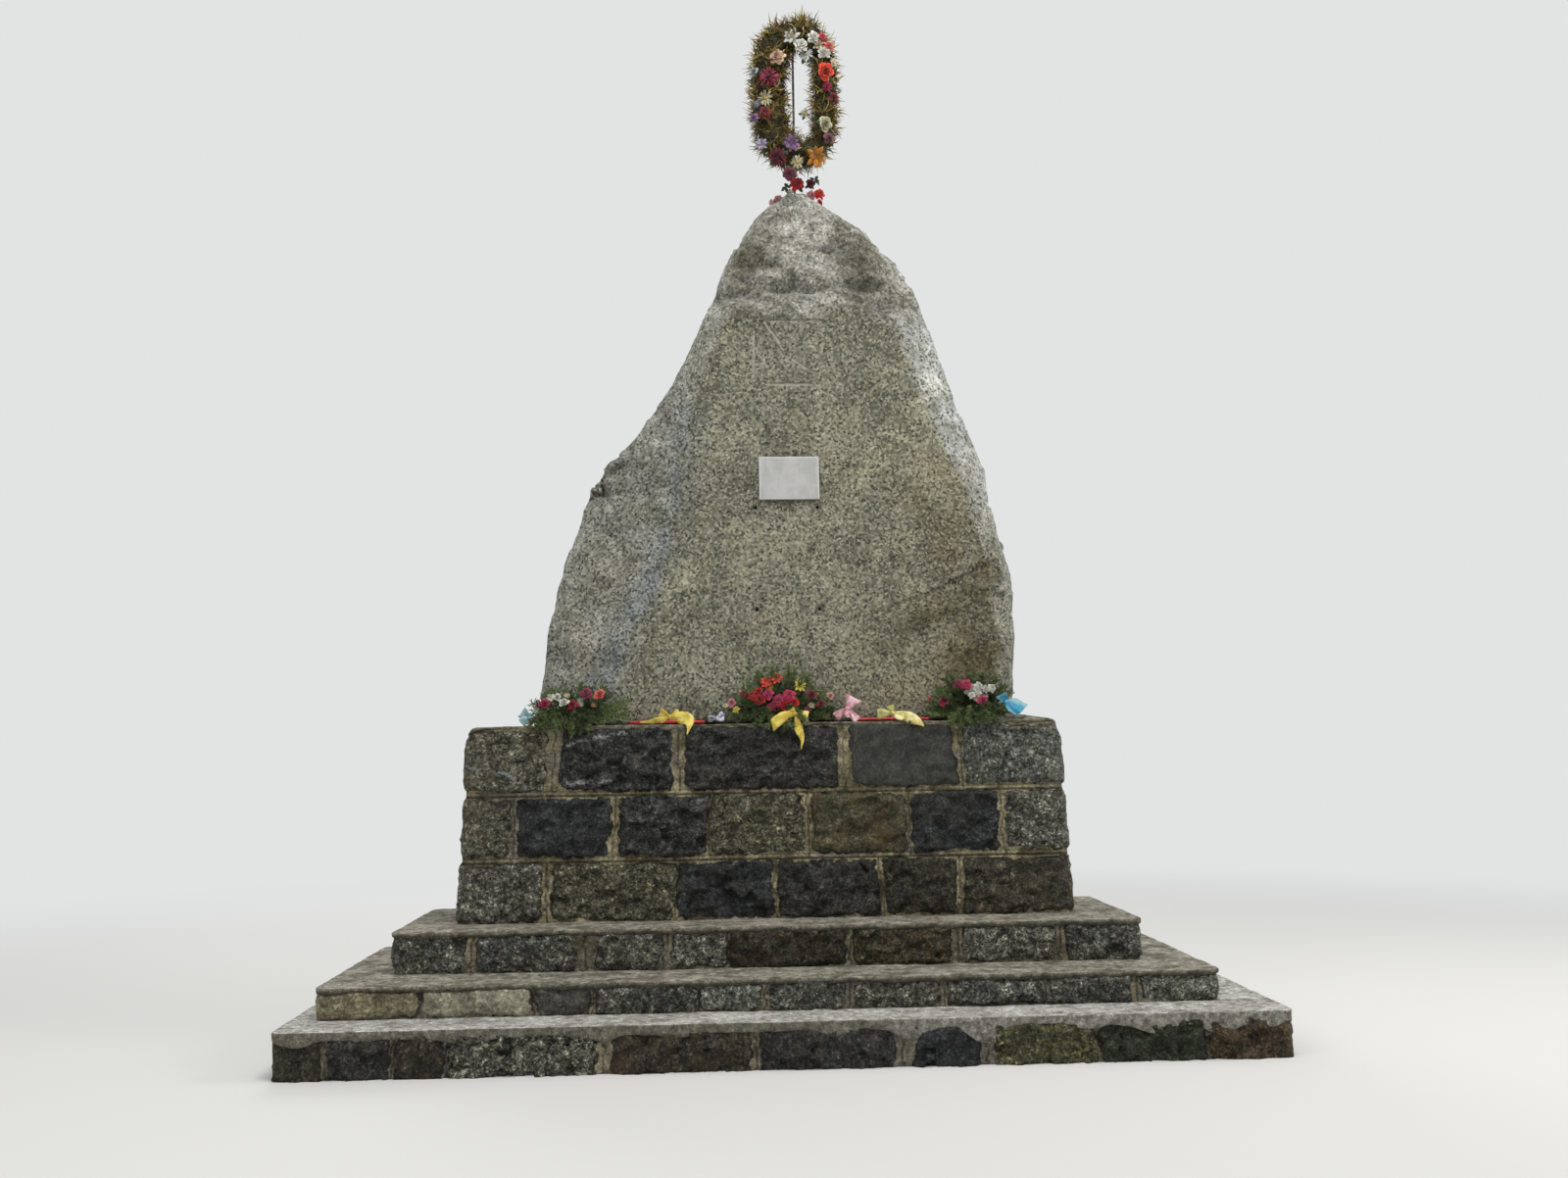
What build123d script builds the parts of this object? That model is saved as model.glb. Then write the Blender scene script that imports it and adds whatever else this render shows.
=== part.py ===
from build123d import *
import math
import os

# A standing boulder of split granite on a coursed stone plinth with three steps.
# Millimetres, +Z is up and the front faces -Y. The origin is on the ground, under the
# middle of the lowest step's top slab.

# Steps, from the ground up. Treads are measured from one edge to the next riser, and the
# back of every step is flush with the back of the plinth.
GROUND_STEP_HEIGHT = 240
GROUND_FRONT_TREAD = 302
GROUND_SIDE_TREAD = 201
GROUND_STEP_SHIFT = 68
MIDDLE_STEP_HEIGHT = 165
MIDDLE_FRONT_TREAD = 390
MIDDLE_SIDE_TREAD = 300
UPPER_STEP_HEIGHT = 225
UPPER_FRONT_TREAD = 345
UPPER_SIDE_TREAD = 295
STEP_CORNER_RADIUS = 45

# Cement screeds that cap the steps and stand a little proud of the stones
GROUND_SCREED_THICKNESS = 38
MIDDLE_SCREED_THICKNESS = 28
UPPER_SCREED_THICKNESS = 28
SCREED_OVERHANG = 12

# Plinth of three courses with wide bed joints, all four faces battered
PLINTH_WIDTH = 3570
PLINTH_DEPTH = 850
PLINTH_CORNER_RADIUS = 70
SIDE_BATTER = 0.0464
FACE_BATTER = 0.0205
BOTTOM_COURSE_HEIGHT = 330
MIDDLE_COURSE_HEIGHT = 350
TOP_COURSE_HEIGHT = 366
BED_JOINT_HEIGHT = 28
BED_JOINT_RECESS = 12
CAP_MORTAR_THICKNESS = 18

# Boulder: its front was split flat and leans back a little
BOULDER_HEIGHT = 3345
BOULDER_WIDTH = 2960
BOULDER_SHIFT = 88
BOULDER_LEDGE = 118
BOULDER_BASE_THICKNESS = 640
FRONT_LEAN = 0.058
BACK_LEAN = 0.075
WIDEST_LINE = 0.5
BACK_INSET = 0.17

# Share of the boulder's height, then how far its left outline, the left edge and the right
# edge of the split face, and its right outline lie from its middle, in half widths
BOULDER_SECTIONS = [
    (0, -1.037, -0.689, 0.899, 1.005),
    (0.149, -1.01, -0.581, 0.946, 1.01),
    (0.26, -0.945, -0.432, 0.912, 1.013),
    (0.404, -0.834, -0.372, 0.828, 0.926),
    (0.49, -0.727, -0.351, 0.75, 0.886),
    (0.526, -0.625, -0.348, 0.716, 0.852),
    (0.634, -0.448, -0.324, 0.601, 0.77),
    (0.753, -0.314, -0.203, 0.527, 0.676),
    (0.861, -0.205, -0.128, 0.466, 0.549),
    (0.921, -0.121, -0.068, 0.368, 0.412),
    (0.966, -0.046, -0.017, 0.226, 0.252),
    (1, 0.064, 0.084, 0.139, 0.155),
]
BASE_CHAMFER = 85
TIP_CHAMFER = 12

# Four drilled holes in the split face, left by an earlier fixing
FIXING_SPACING_X = 378
FIXING_SPACING_Z = 624
FIXING_SHIFT = 62
FIXING_CENTRE_HEIGHT = 990
FIXING_RADIUS = 9
FIXING_DEPTH = 90

# Stone plaque on a thin bed of mortar
PLAQUE_WIDTH = 366
PLAQUE_HEIGHT = 266
PLAQUE_THICKNESS = 18
PLAQUE_BEDDING = 8
PLAQUE_BEDDING_INSET = 9
PLAQUE_SHIFT = 80
PLAQUE_CENTRE_HEIGHT = 1481
PLAQUE_BEVEL = 4

# Iron rod let into the boulder's tip, bent to a hook that carries the wreath
ROD_RADIUS = 7
ROD_CLEARANCE = 0.3
ROD_SOCKET_DEPTH = 160
ROD_SHIFT = 156
HOOK_BEND_RADIUS = 22
HOOK_LIP = 30

# Oval wreath, drawn with four tangent arcs
WREATH_WIDTH = 580
WREATH_HEIGHT = 1085
WREATH_TUBE_RADIUS = 108
WREATH_END_RADIUS = 158
WREATH_SIDES = 12
WREATH_GAP_OVER_TIP = 115
SEAT_GAP = 0.2

# Sprays of greenery that lean on the split face
SPRAY_THICKNESS = 60
SPRAY_FRONT_SHARE = 0.88
SPRAY_TIP_STEP = 20
BLOSSOM_DEPTH = 0.42
BLOSSOM_STEM = 0.16
BLOSSOM_RIM = 0.7
BLOSSOM_FACE = 0.34
BLOSSOM_SIDES = 8
HANDLE_RADIUS = 12
HANDLE_LENGTH = 440

# Ribbon bows
BOW_THICKNESS = 18
RIBBON_THICKNESS = 5
KNOT_SHARE = 0.16
LOOP_WIDEST = 0.6
LOOP_END = 0.34
TAIL_WIDTH_SHARE = 0.55

# Sizes that follow from the ones above
PLINTH_HEIGHT = (
    BOTTOM_COURSE_HEIGHT + MIDDLE_COURSE_HEIGHT + TOP_COURSE_HEIGHT
    + 2 * BED_JOINT_HEIGHT + CAP_MORTAR_THICKNESS
)
FOOTPRINT_DEPTH = PLINTH_DEPTH + UPPER_FRONT_TREAD + MIDDLE_FRONT_TREAD + GROUND_FRONT_TREAD
BACK_Y = FOOTPRINT_DEPTH / 2
PLINTH_X = -GROUND_STEP_SHIFT
PLINTH_FRONT_Y = BACK_Y - PLINTH_DEPTH
MIDDLE_STEP_BASE = GROUND_STEP_HEIGHT
UPPER_STEP_BASE = MIDDLE_STEP_BASE + MIDDLE_STEP_HEIGHT
PLINTH_BASE = UPPER_STEP_BASE + UPPER_STEP_HEIGHT
LEDGE_Z = PLINTH_BASE + PLINTH_HEIGHT
LEDGE_FRONT_Y = PLINTH_FRONT_Y + FACE_BATTER * PLINTH_HEIGHT
BOULDER_X = PLINTH_X + BOULDER_SHIFT
FIXING_X = BOULDER_X + FIXING_SHIFT
PLAQUE_X = BOULDER_X + PLAQUE_SHIFT
ROD_X = BOULDER_X + ROD_SHIFT
BOULDER_FRONT_Y = LEDGE_FRONT_Y + BOULDER_LEDGE
TIP_Z = LEDGE_Z + BOULDER_HEIGHT
LEAN_ANGLE = math.degrees(math.atan(FRONT_LEAN))


def save(node, shape):
    export_step(shape, os.path.join("parts", node + ".step"))


def slab(width, depth, centre_x, base, height, radius, inset=0):
    """A slab whose back is flush with the monument's back, inset at its front and sides."""
    outline = RectangleRounded(width - 2 * inset, depth - inset, radius)
    centre_y = BACK_Y - (depth - inset) / 2
    return extrude(Pos(centre_x, centre_y, base) * outline, amount=height)


def make_step(node, width, depth, centre_x, base, height, screed):
    """One step: the mass of its stones, and the screed that caps it."""
    stones = slab(width, depth, centre_x, base, height - screed, STEP_CORNER_RADIUS, SCREED_OVERHANG)
    cap = slab(width, depth, centre_x, base + height - screed, screed, STEP_CORNER_RADIUS)
    save(node, stones)
    save(node + "_screed", cap)


def make_steps():
    width = PLINTH_WIDTH + 2 * UPPER_SIDE_TREAD
    depth = PLINTH_DEPTH + UPPER_FRONT_TREAD
    sizes = (UPPER_STEP_BASE, UPPER_STEP_HEIGHT, UPPER_SCREED_THICKNESS)
    make_step("upper_step", width, depth, PLINTH_X, *sizes)
    width += 2 * MIDDLE_SIDE_TREAD
    depth += MIDDLE_FRONT_TREAD
    sizes = (MIDDLE_STEP_BASE, MIDDLE_STEP_HEIGHT, MIDDLE_SCREED_THICKNESS)
    make_step("middle_step", width, depth, PLINTH_X, *sizes)
    width += 2 * GROUND_SIDE_TREAD
    depth += GROUND_FRONT_TREAD
    sizes = (0, GROUND_STEP_HEIGHT, GROUND_SCREED_THICKNESS)
    make_step("ground_step", width, depth, 0, *sizes)


def plinth_section(height, inset):
    """The battered plinth's outline at a height over its base."""
    half_width = PLINTH_WIDTH / 2 - SIDE_BATTER * height - inset
    front = PLINTH_FRONT_Y + FACE_BATTER * height + inset
    back = BACK_Y - FACE_BATTER * height - inset
    outline = RectangleRounded(2 * half_width, back - front, PLINTH_CORNER_RADIUS - inset)
    return Pos(PLINTH_X, (front + back) / 2, PLINTH_BASE + height) * outline


def make_plinth():
    """Courses and bed joints, stacked from the base up."""
    layers = [
        ("plinth_bottom_course", BOTTOM_COURSE_HEIGHT, 0),
        ("plinth_lower_bed_joint", BED_JOINT_HEIGHT, BED_JOINT_RECESS),
        ("plinth_middle_course", MIDDLE_COURSE_HEIGHT, 0),
        ("plinth_upper_bed_joint", BED_JOINT_HEIGHT, BED_JOINT_RECESS),
        ("plinth_top_course", TOP_COURSE_HEIGHT, 0),
        ("plinth_cap_mortar", CAP_MORTAR_THICKNESS, 0),
    ]
    height = 0
    for node, thickness, inset in layers:
        ends = [plinth_section(height, inset), plinth_section(height + thickness, inset)]
        save(node, loft(ends, ruled=True))
        height += thickness


def face_y(height):
    """The split face's place at a height over the boulder's base."""
    return BOULDER_FRONT_Y + FRONT_LEAN * height


def face_plane(x, height, proud=0):
    """A plane on the split face, or that far in front of it, with its normal outwards."""
    plane = Plane(
        origin=(x, face_y(height), LEDGE_Z + height),
        x_dir=(1, 0, 0),
        z_dir=(0, -math.cos(math.radians(LEAN_ANGLE)), math.sin(math.radians(LEAN_ANGLE))),
    )
    return plane.offset(proud)


def faceted(levels):
    """A solid with flat facets between levels that have as many corners as each other."""
    facets = [levels[0], levels[-1]]
    for lower, upper in zip(levels, levels[1:]):
        for index in range(len(lower)):
            facets.append([lower[index - 1], lower[index], upper[index]])
            facets.append([lower[index - 1], upper[index], upper[index - 1]])
    faces = [Face(Wire.make_polygon(corners)) for corners in facets]
    return Solid(Shell(faces)).clean()


def boulder_level(share, *outline):
    """One level of the boulder: a hexagon with its flat side at the front and blunt corners."""
    height = share * BOULDER_HEIGHT
    left, face_left, face_right, right = [
        BOULDER_X + place * BOULDER_WIDTH / 2 for place in outline
    ]
    front = face_y(height)
    back = BOULDER_FRONT_Y + BOULDER_BASE_THICKNESS - BACK_LEAN * height
    middle = front + WIDEST_LINE * (back - front)
    inset = BACK_INSET * (right - left)
    corners = [
        Vector(left, middle, LEDGE_Z + height),
        Vector(face_left, front, LEDGE_Z + height),
        Vector(face_right, front, LEDGE_Z + height),
        Vector(right, middle, LEDGE_Z + height),
        Vector(right - inset, back, LEDGE_Z + height),
        Vector(left + inset, back, LEDGE_Z + height),
    ]
    blunting = BASE_CHAMFER + (TIP_CHAMFER - BASE_CHAMFER) * share
    level = []
    for index, corner in enumerate(corners):
        for neighbour in (corners[index - 1], corners[(index + 1) % len(corners)]):
            level.append(corner + (neighbour - corner).normalized() * blunting)
    return level


def tip_middle_y():
    front = face_y(BOULDER_HEIGHT)
    back = BOULDER_FRONT_Y + BOULDER_BASE_THICKNESS - BACK_LEAN * BOULDER_HEIGHT
    return (front + back) / 2


def make_boulder():
    rock = faceted([boulder_level(*row) for row in BOULDER_SECTIONS])
    for side in (-1, 1):
        for level in (-1, 1):
            x = FIXING_X + side * FIXING_SPACING_X / 2
            height = FIXING_CENTRE_HEIGHT + level * FIXING_SPACING_Z / 2
            mouth = Plane(origin=(x, face_y(height), LEDGE_Z + height), z_dir=(0, -1, 0))
            rock -= mouth * Cylinder(FIXING_RADIUS, 2 * FIXING_DEPTH)
    socket = Cylinder(
        ROD_RADIUS + ROD_CLEARANCE, ROD_SOCKET_DEPTH, align=(Align.CENTER, Align.CENTER, Align.MAX)
    )
    rock -= Pos(ROD_X, tip_middle_y(), TIP_Z) * socket
    save("boulder", rock)


def make_plaque():
    bedding = face_plane(PLAQUE_X, PLAQUE_CENTRE_HEIGHT) * Rectangle(
        PLAQUE_WIDTH - 2 * PLAQUE_BEDDING_INSET, PLAQUE_HEIGHT - 2 * PLAQUE_BEDDING_INSET
    )
    save("plaque_bedding", extrude(bedding, amount=PLAQUE_BEDDING))
    seat = face_plane(PLAQUE_X, PLAQUE_CENTRE_HEIGHT, PLAQUE_BEDDING)
    plate = extrude(seat * Rectangle(PLAQUE_WIDTH, PLAQUE_HEIGHT), amount=PLAQUE_THICKNESS)
    front = plate.faces().sort_by(Axis.Y)[0]
    save("plaque", chamfer(front.edges(), PLAQUE_BEVEL))


def wreath_centre():
    """The middle of the oval, in front of the rod that carries it."""
    y = tip_middle_y() - ROD_RADIUS - WREATH_TUBE_RADIUS - SEAT_GAP
    return Vector(ROD_X, y, TIP_Z + WREATH_GAP_OVER_TIP + WREATH_HEIGHT / 2)


def wreath_path():
    """The tube's middle line, as four tangent arcs."""
    half_width = WREATH_WIDTH / 2 - WREATH_TUBE_RADIUS
    half_height = WREATH_HEIGHT / 2 - WREATH_TUBE_RADIUS
    end = WREATH_END_RADIUS
    rise = half_height - end
    side = (half_width**2 + rise**2 - end**2) / (2 * (half_width - end))
    turn = math.atan2(rise, side - half_width)
    join_x = end * math.cos(turn)
    join_z = rise + end * math.sin(turn)
    plane = Plane(origin=wreath_centre(), x_dir=(1, 0, 0), z_dir=(0, -1, 0))
    oval = Wire(
        [
            ThreePointArc((join_x, join_z), (0, half_height), (-join_x, join_z)),
            ThreePointArc((-join_x, join_z), (-half_width, 0), (-join_x, -join_z)),
            ThreePointArc((-join_x, -join_z), (0, -half_height), (join_x, -join_z)),
            ThreePointArc((join_x, -join_z), (half_width, 0), (join_x, join_z)),
        ]
    )
    return plane * oval


def blossom(plane, diameter):
    """One flower head: an eight-sided cup that opens from its stem and closes to its face."""
    depth = BLOSSOM_DEPTH * diameter
    rings = [
        (0, BLOSSOM_STEM * diameter),
        (BLOSSOM_RIM * depth, diameter / 2),
        (depth, BLOSSOM_FACE * diameter),
    ]
    turns = [math.tau * side / BLOSSOM_SIDES for side in range(BLOSSOM_SIDES)]
    levels = []
    for height, radius in rings:
        level = [(radius * math.cos(turn), radius * math.sin(turn), height) for turn in turns]
        levels.append([plane.from_local_coords(corner) for corner in level])
    return faceted(levels)


# Flower heads on the wreath: share of the way round the oval, anticlockwise from the upper
# right, then the diameter
WREATH_BLOSSOMS = [
    (0.02, 88),
    (0.085, 84),
    (0.15, 76),
    (0.24, 92),
    (0.33, 84),
    (0.43, 72),
    (0.52, 82),
    (0.585, 70),
    (0.66, 88),
    (0.75, 80),
    (0.84, 92),
    (0.925, 86),
]

# Flower heads round the rod, under the wreath: turn about the rod, height over the tip
ROD_BLOSSOMS = [(-62, 58, 56), (0, 38, 60), (58, 62, 58)]


def make_wreath():
    path = wreath_path()
    start = Plane(origin=path @ 0, x_dir=(0, 1, 0), z_dir=path % 0)
    flat_turn = 180 / WREATH_SIDES
    tube = RegularPolygon(WREATH_TUBE_RADIUS, WREATH_SIDES, major_radius=False, rotation=flat_turn)
    save("wreath_ring", sweep(start * tube, path=path))
    heads = []
    for share, diameter in WREATH_BLOSSOMS:
        point = path @ share
        front = (point.X, point.Y - WREATH_TUBE_RADIUS - SEAT_GAP, point.Z)
        heads.append(blossom(Plane(origin=front, x_dir=(1, 0, 0), z_dir=(0, -1, 0)), diameter))
    save("wreath_blossoms", Compound(children=heads))


def make_rod():
    """Straight from its socket to a hook under the wreath's upper bend."""
    y = tip_middle_y()
    hook_z = wreath_centre().Z + WREATH_HEIGHT / 2 - 2 * WREATH_TUBE_RADIUS - ROD_RADIUS - SEAT_GAP
    tip_y = y - 2 * (ROD_RADIUS + WREATH_TUBE_RADIUS + SEAT_GAP)
    bend = HOOK_BEND_RADIUS
    path = FilletPolyline(
        (ROD_X, y, TIP_Z - ROD_SOCKET_DEPTH),
        (ROD_X, y, hook_z),
        (ROD_X, tip_y, hook_z),
        (ROD_X, tip_y, hook_z + HOOK_LIP),
        radius=bend,
    )
    foot = Plane(origin=path @ 0, z_dir=path % 0)
    save("wreath_rod", sweep(foot * Circle(ROD_RADIUS), path=path))
    heads = []
    for turn, height, diameter in ROD_BLOSSOMS:
        side = math.sin(math.radians(turn))
        ahead = -math.cos(math.radians(turn))
        out = ROD_RADIUS + SEAT_GAP
        foot = (ROD_X + out * side, y + out * ahead, TIP_Z + height)
        heads.append(blossom(Plane(origin=foot, z_dir=(side, ahead, 0)), diameter))
    save("rod_blossoms", Compound(children=heads))


# Each spray's middle from the plinth's middle, and the width and height of its greenery
SPRAYS = {
    "left_spray": (-1097, 600, 215),
    "centre_spray": (103, 600, 300),
    "right_spray": (1223, 500, 270),
}

# Flower heads on the sprays: x from the spray's middle, height over the ledge, diameter
SPRAY_BLOSSOMS = {
    "left_spray": [
        (-200, 62, 60),
        (-125, 92, 62),
        (-52, 120, 64),
        (-65, 50, 58),
        (18, 150, 60),
        (28, 78, 66),
        (110, 70, 56),
    ],
    "centre_spray": [
        (-175, 70, 60),
        (-110, 130, 62),
        (-35, 80, 66),
        (-25, 205, 78),
        (62, 190, 74),
        (38, 110, 72),
        (120, 105, 62),
    ],
    "right_spray": [
        (-150, 75, 60),
        (-75, 120, 62),
        (-60, 195, 60),
        (0, 80, 70),
        (12, 160, 74),
        (95, 100, 72),
        (88, 172, 58),
    ],
}


def fan(width, height):
    """The outline of a spray that stands on its straight side, cut off by the ledge."""
    turns = [math.radians(turn) for turn in range(0, 181, SPRAY_TIP_STEP)]
    tips = [(width / 2 * math.cos(turn), height * math.sin(turn)) for turn in turns]
    sunk = -SPRAY_THICKNESS / 2
    return make_face(Polyline((width / 2, sunk), *tips, (-width / 2, sunk), close=True))


def make_sprays():
    below = Pos(0, 0, LEDGE_Z) * Box(
        PLINTH_WIDTH, 2 * PLINTH_DEPTH, PLINTH_HEIGHT, align=(Align.CENTER, Align.CENTER, Align.MAX)
    )
    for name, (shift, width, height) in SPRAYS.items():
        centre_x = PLINTH_X + shift
        back = face_plane(centre_x, 0, SEAT_GAP) * fan(width, height)
        front = face_plane(centre_x, 0, SEAT_GAP + SPRAY_THICKNESS) * fan(
            SPRAY_FRONT_SHARE * width, SPRAY_FRONT_SHARE * height
        )
        save(name + "_greenery", loft([back, front], ruled=True) - below)
        heads = []
        for x, up, diameter in SPRAY_BLOSSOMS[name]:
            seat = face_plane(centre_x + x, up, SPRAY_THICKNESS + 2 * SEAT_GAP)
            heads.append(blossom(seat, diameter))
        save(name + "_blossoms", Compound(children=heads))


def make_handles():
    """Bundles of stems wrapped in ribbon, from the sprays' ends along the ledge."""
    for name, side in (("left_spray", 1), ("right_spray", -1)):
        shift, width, _ = SPRAYS[name]
        start = Vector(
            PLINTH_X + shift + side * (width / 2 + SEAT_GAP),
            BOULDER_FRONT_Y - SPRAY_THICKNESS / 2,
            LEDGE_Z + HANDLE_RADIUS + SEAT_GAP,
        )
        seat = Plane(origin=start, z_dir=(side, 0, 0))
        save(name + "_handle", extrude(seat * Circle(HANDLE_RADIUS), amount=HANDLE_LENGTH))


def bow(centre_x, base_z, width, height, tail):
    """Two loops and a knot that stand on the ledge's front, with a tail over its edge."""
    knot = KNOT_SHARE * height
    widest = LOOP_WIDEST * width / 2
    loop = [(0, knot), (widest, height / 2), (width / 2, LOOP_END * height)]
    right = loop + [(x, -z) for x, z in reversed(loop)]
    left = [(-x, -z) for x, z in right[1:-1]]
    shape = make_face(Polyline(*right, *left, close=True))
    shape += Pos(0, -height / 4) * Rectangle(TAIL_WIDTH_SHARE * height, height / 2)
    front = LEDGE_FRONT_Y + RIBBON_THICKNESS + SEAT_GAP
    plane = Plane(
        origin=(centre_x, front + BOW_THICKNESS, base_z + height / 2), x_dir=(1, 0, 0), z_dir=(0, -1, 0)
    )
    loops = extrude(plane * shape, amount=BOW_THICKNESS)
    if tail == 0:
        return loops
    inner = LEDGE_FRONT_Y - SEAT_GAP
    outer = inner - RIBBON_THICKNESS
    top = LEDGE_Z + SEAT_GAP
    flare = FACE_BATTER * tail + SEAT_GAP
    strip = Polyline(
        (front + BOW_THICKNESS, top),
        (inner, top),
        (inner - flare, top - tail),
        (outer - flare, top - tail),
        (outer, top + RIBBON_THICKNESS),
        (front + BOW_THICKNESS, top + RIBBON_THICKNESS),
        close=True,
    )
    side_view = Plane(origin=(centre_x, 0, 0), x_dir=(0, 1, 0), z_dir=(1, 0, 0))
    ribbon = extrude(side_view * make_face(strip), amount=TAIL_WIDTH_SHARE * height / 2, both=True)
    return loops + ribbon


# Bows on the ledge: middle from the plinth's middle, width, height, and the tail's length
# over the edge
BOWS = {
    "left_yellow_bow": (-572, 300, 110, 60),
    "white_bow": (-282, 100, 62, 0),
    "centre_yellow_bow": (153, 230, 110, 165),
    "pink_bow": (488, 190, 120, 0),
    "right_yellow_bow": (803, 250, 110, 40),
    "blue_bow": (1518, 160, 105, 30),
    "pale_blue_bow": (-1462, 80, 70, 20),
}


def make_bows():
    for node, (shift, width, height, tail) in BOWS.items():
        save(node, bow(PLINTH_X + shift, LEDGE_Z + SEAT_GAP, width, height, tail))


os.makedirs("parts", exist_ok=True)
make_steps()
make_plinth()
make_boulder()
make_plaque()
make_wreath()
make_rod()
make_sprays()
make_handles()
make_bows()
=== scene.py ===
import itertools
import math

import bmesh
import bpy
import numpy as np
from mathutils import Matrix, Vector


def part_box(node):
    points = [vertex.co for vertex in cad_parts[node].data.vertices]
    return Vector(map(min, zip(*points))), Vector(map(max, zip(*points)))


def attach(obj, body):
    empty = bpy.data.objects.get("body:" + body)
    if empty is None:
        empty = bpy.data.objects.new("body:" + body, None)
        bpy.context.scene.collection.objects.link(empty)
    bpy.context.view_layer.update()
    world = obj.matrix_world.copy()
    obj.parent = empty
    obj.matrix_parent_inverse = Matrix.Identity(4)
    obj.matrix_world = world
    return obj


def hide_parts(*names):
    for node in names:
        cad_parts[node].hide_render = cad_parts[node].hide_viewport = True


# A standing boulder of split granite on a coursed plinth with three steps, dressed round its
# solids. Metres, with the origin on the ground and the front towards -Y.

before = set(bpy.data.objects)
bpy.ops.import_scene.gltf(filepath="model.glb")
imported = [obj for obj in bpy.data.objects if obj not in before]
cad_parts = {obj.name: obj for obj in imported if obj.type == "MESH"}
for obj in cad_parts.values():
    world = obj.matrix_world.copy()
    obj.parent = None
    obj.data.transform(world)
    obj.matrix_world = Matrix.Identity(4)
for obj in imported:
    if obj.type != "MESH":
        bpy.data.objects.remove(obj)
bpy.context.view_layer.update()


def srgb(red, green, blue):
    """A colour as it shows, from 0 to 255, as the linear numbers that a material takes."""
    parts = [part / 255 for part in (red, green, blue)]
    return tuple(part / 12.92 if part <= 0.04045 else ((part + 0.055) / 1.055) ** 2.4 for part in parts)


def placed(name, data):
    """A new object in the scene."""
    made = bpy.data.objects.new(name, data)
    bpy.context.scene.collection.objects.link(made)
    return made


# Node trees

def operator(operation, swapped=False):
    """A method for an operator, which adds a Math node."""

    def apply(self, *others):
        values = (*others, self) if swapped else (self, *others)
        return self.tree.maths(operation, *values)

    return apply


class Socket:
    """A socket of a node tree. Sums and products of sockets add their Math nodes."""

    def __init__(self, tree, link):
        self.tree = tree
        self.link = link

    __add__ = __radd__ = operator("ADD")
    __sub__ = operator("SUBTRACT")
    __rsub__ = operator("SUBTRACT", swapped=True)
    __mul__ = __rmul__ = operator("MULTIPLY")
    __truediv__ = operator("DIVIDE")
    __rpow__ = operator("POWER", swapped=True)
    __abs__ = operator("ABSOLUTE")

    def other(self, output):
        """Another output of the same node."""
        return Socket(self.tree, self.link.node.outputs[output])


class Tree:
    """A node tree while it is made."""

    def __init__(self, tree):
        self.nodes = tree.nodes
        self.links = tree.links

    def feed(self, socket, value):
        if isinstance(value, Socket):
            self.links.new(value.link, socket)
        elif socket.type == "RGBA":
            socket.default_value = (*value, 1)
        else:
            socket.default_value = value

    def node(self, kind, settings=None, values=None, output=0):
        """Any node: its type, its settings, then the values or links of its sockets."""
        made = self.nodes.new(kind)
        for setting, value in (settings or {}).items():
            setattr(made, setting, value)
        for key, value in (values or {}).items():
            self.feed(made.inputs[key], value)
        return Socket(self, made.outputs[output])

    def maths(self, operation, *values):
        return self.node("ShaderNodeMath", {"operation": operation}, dict(enumerate(values)))

    def seen(self):
        """1 for the rays that the camera sees by, mirrored and transmitted ones too."""
        camera = self.node("ShaderNodeLightPath", output="Is Camera Ray")
        either = self.maths("MAXIMUM", camera, camera.other("Is Glossy Ray"))
        return self.maths("MAXIMUM", either, camera.other("Is Transmission Ray"))


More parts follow.
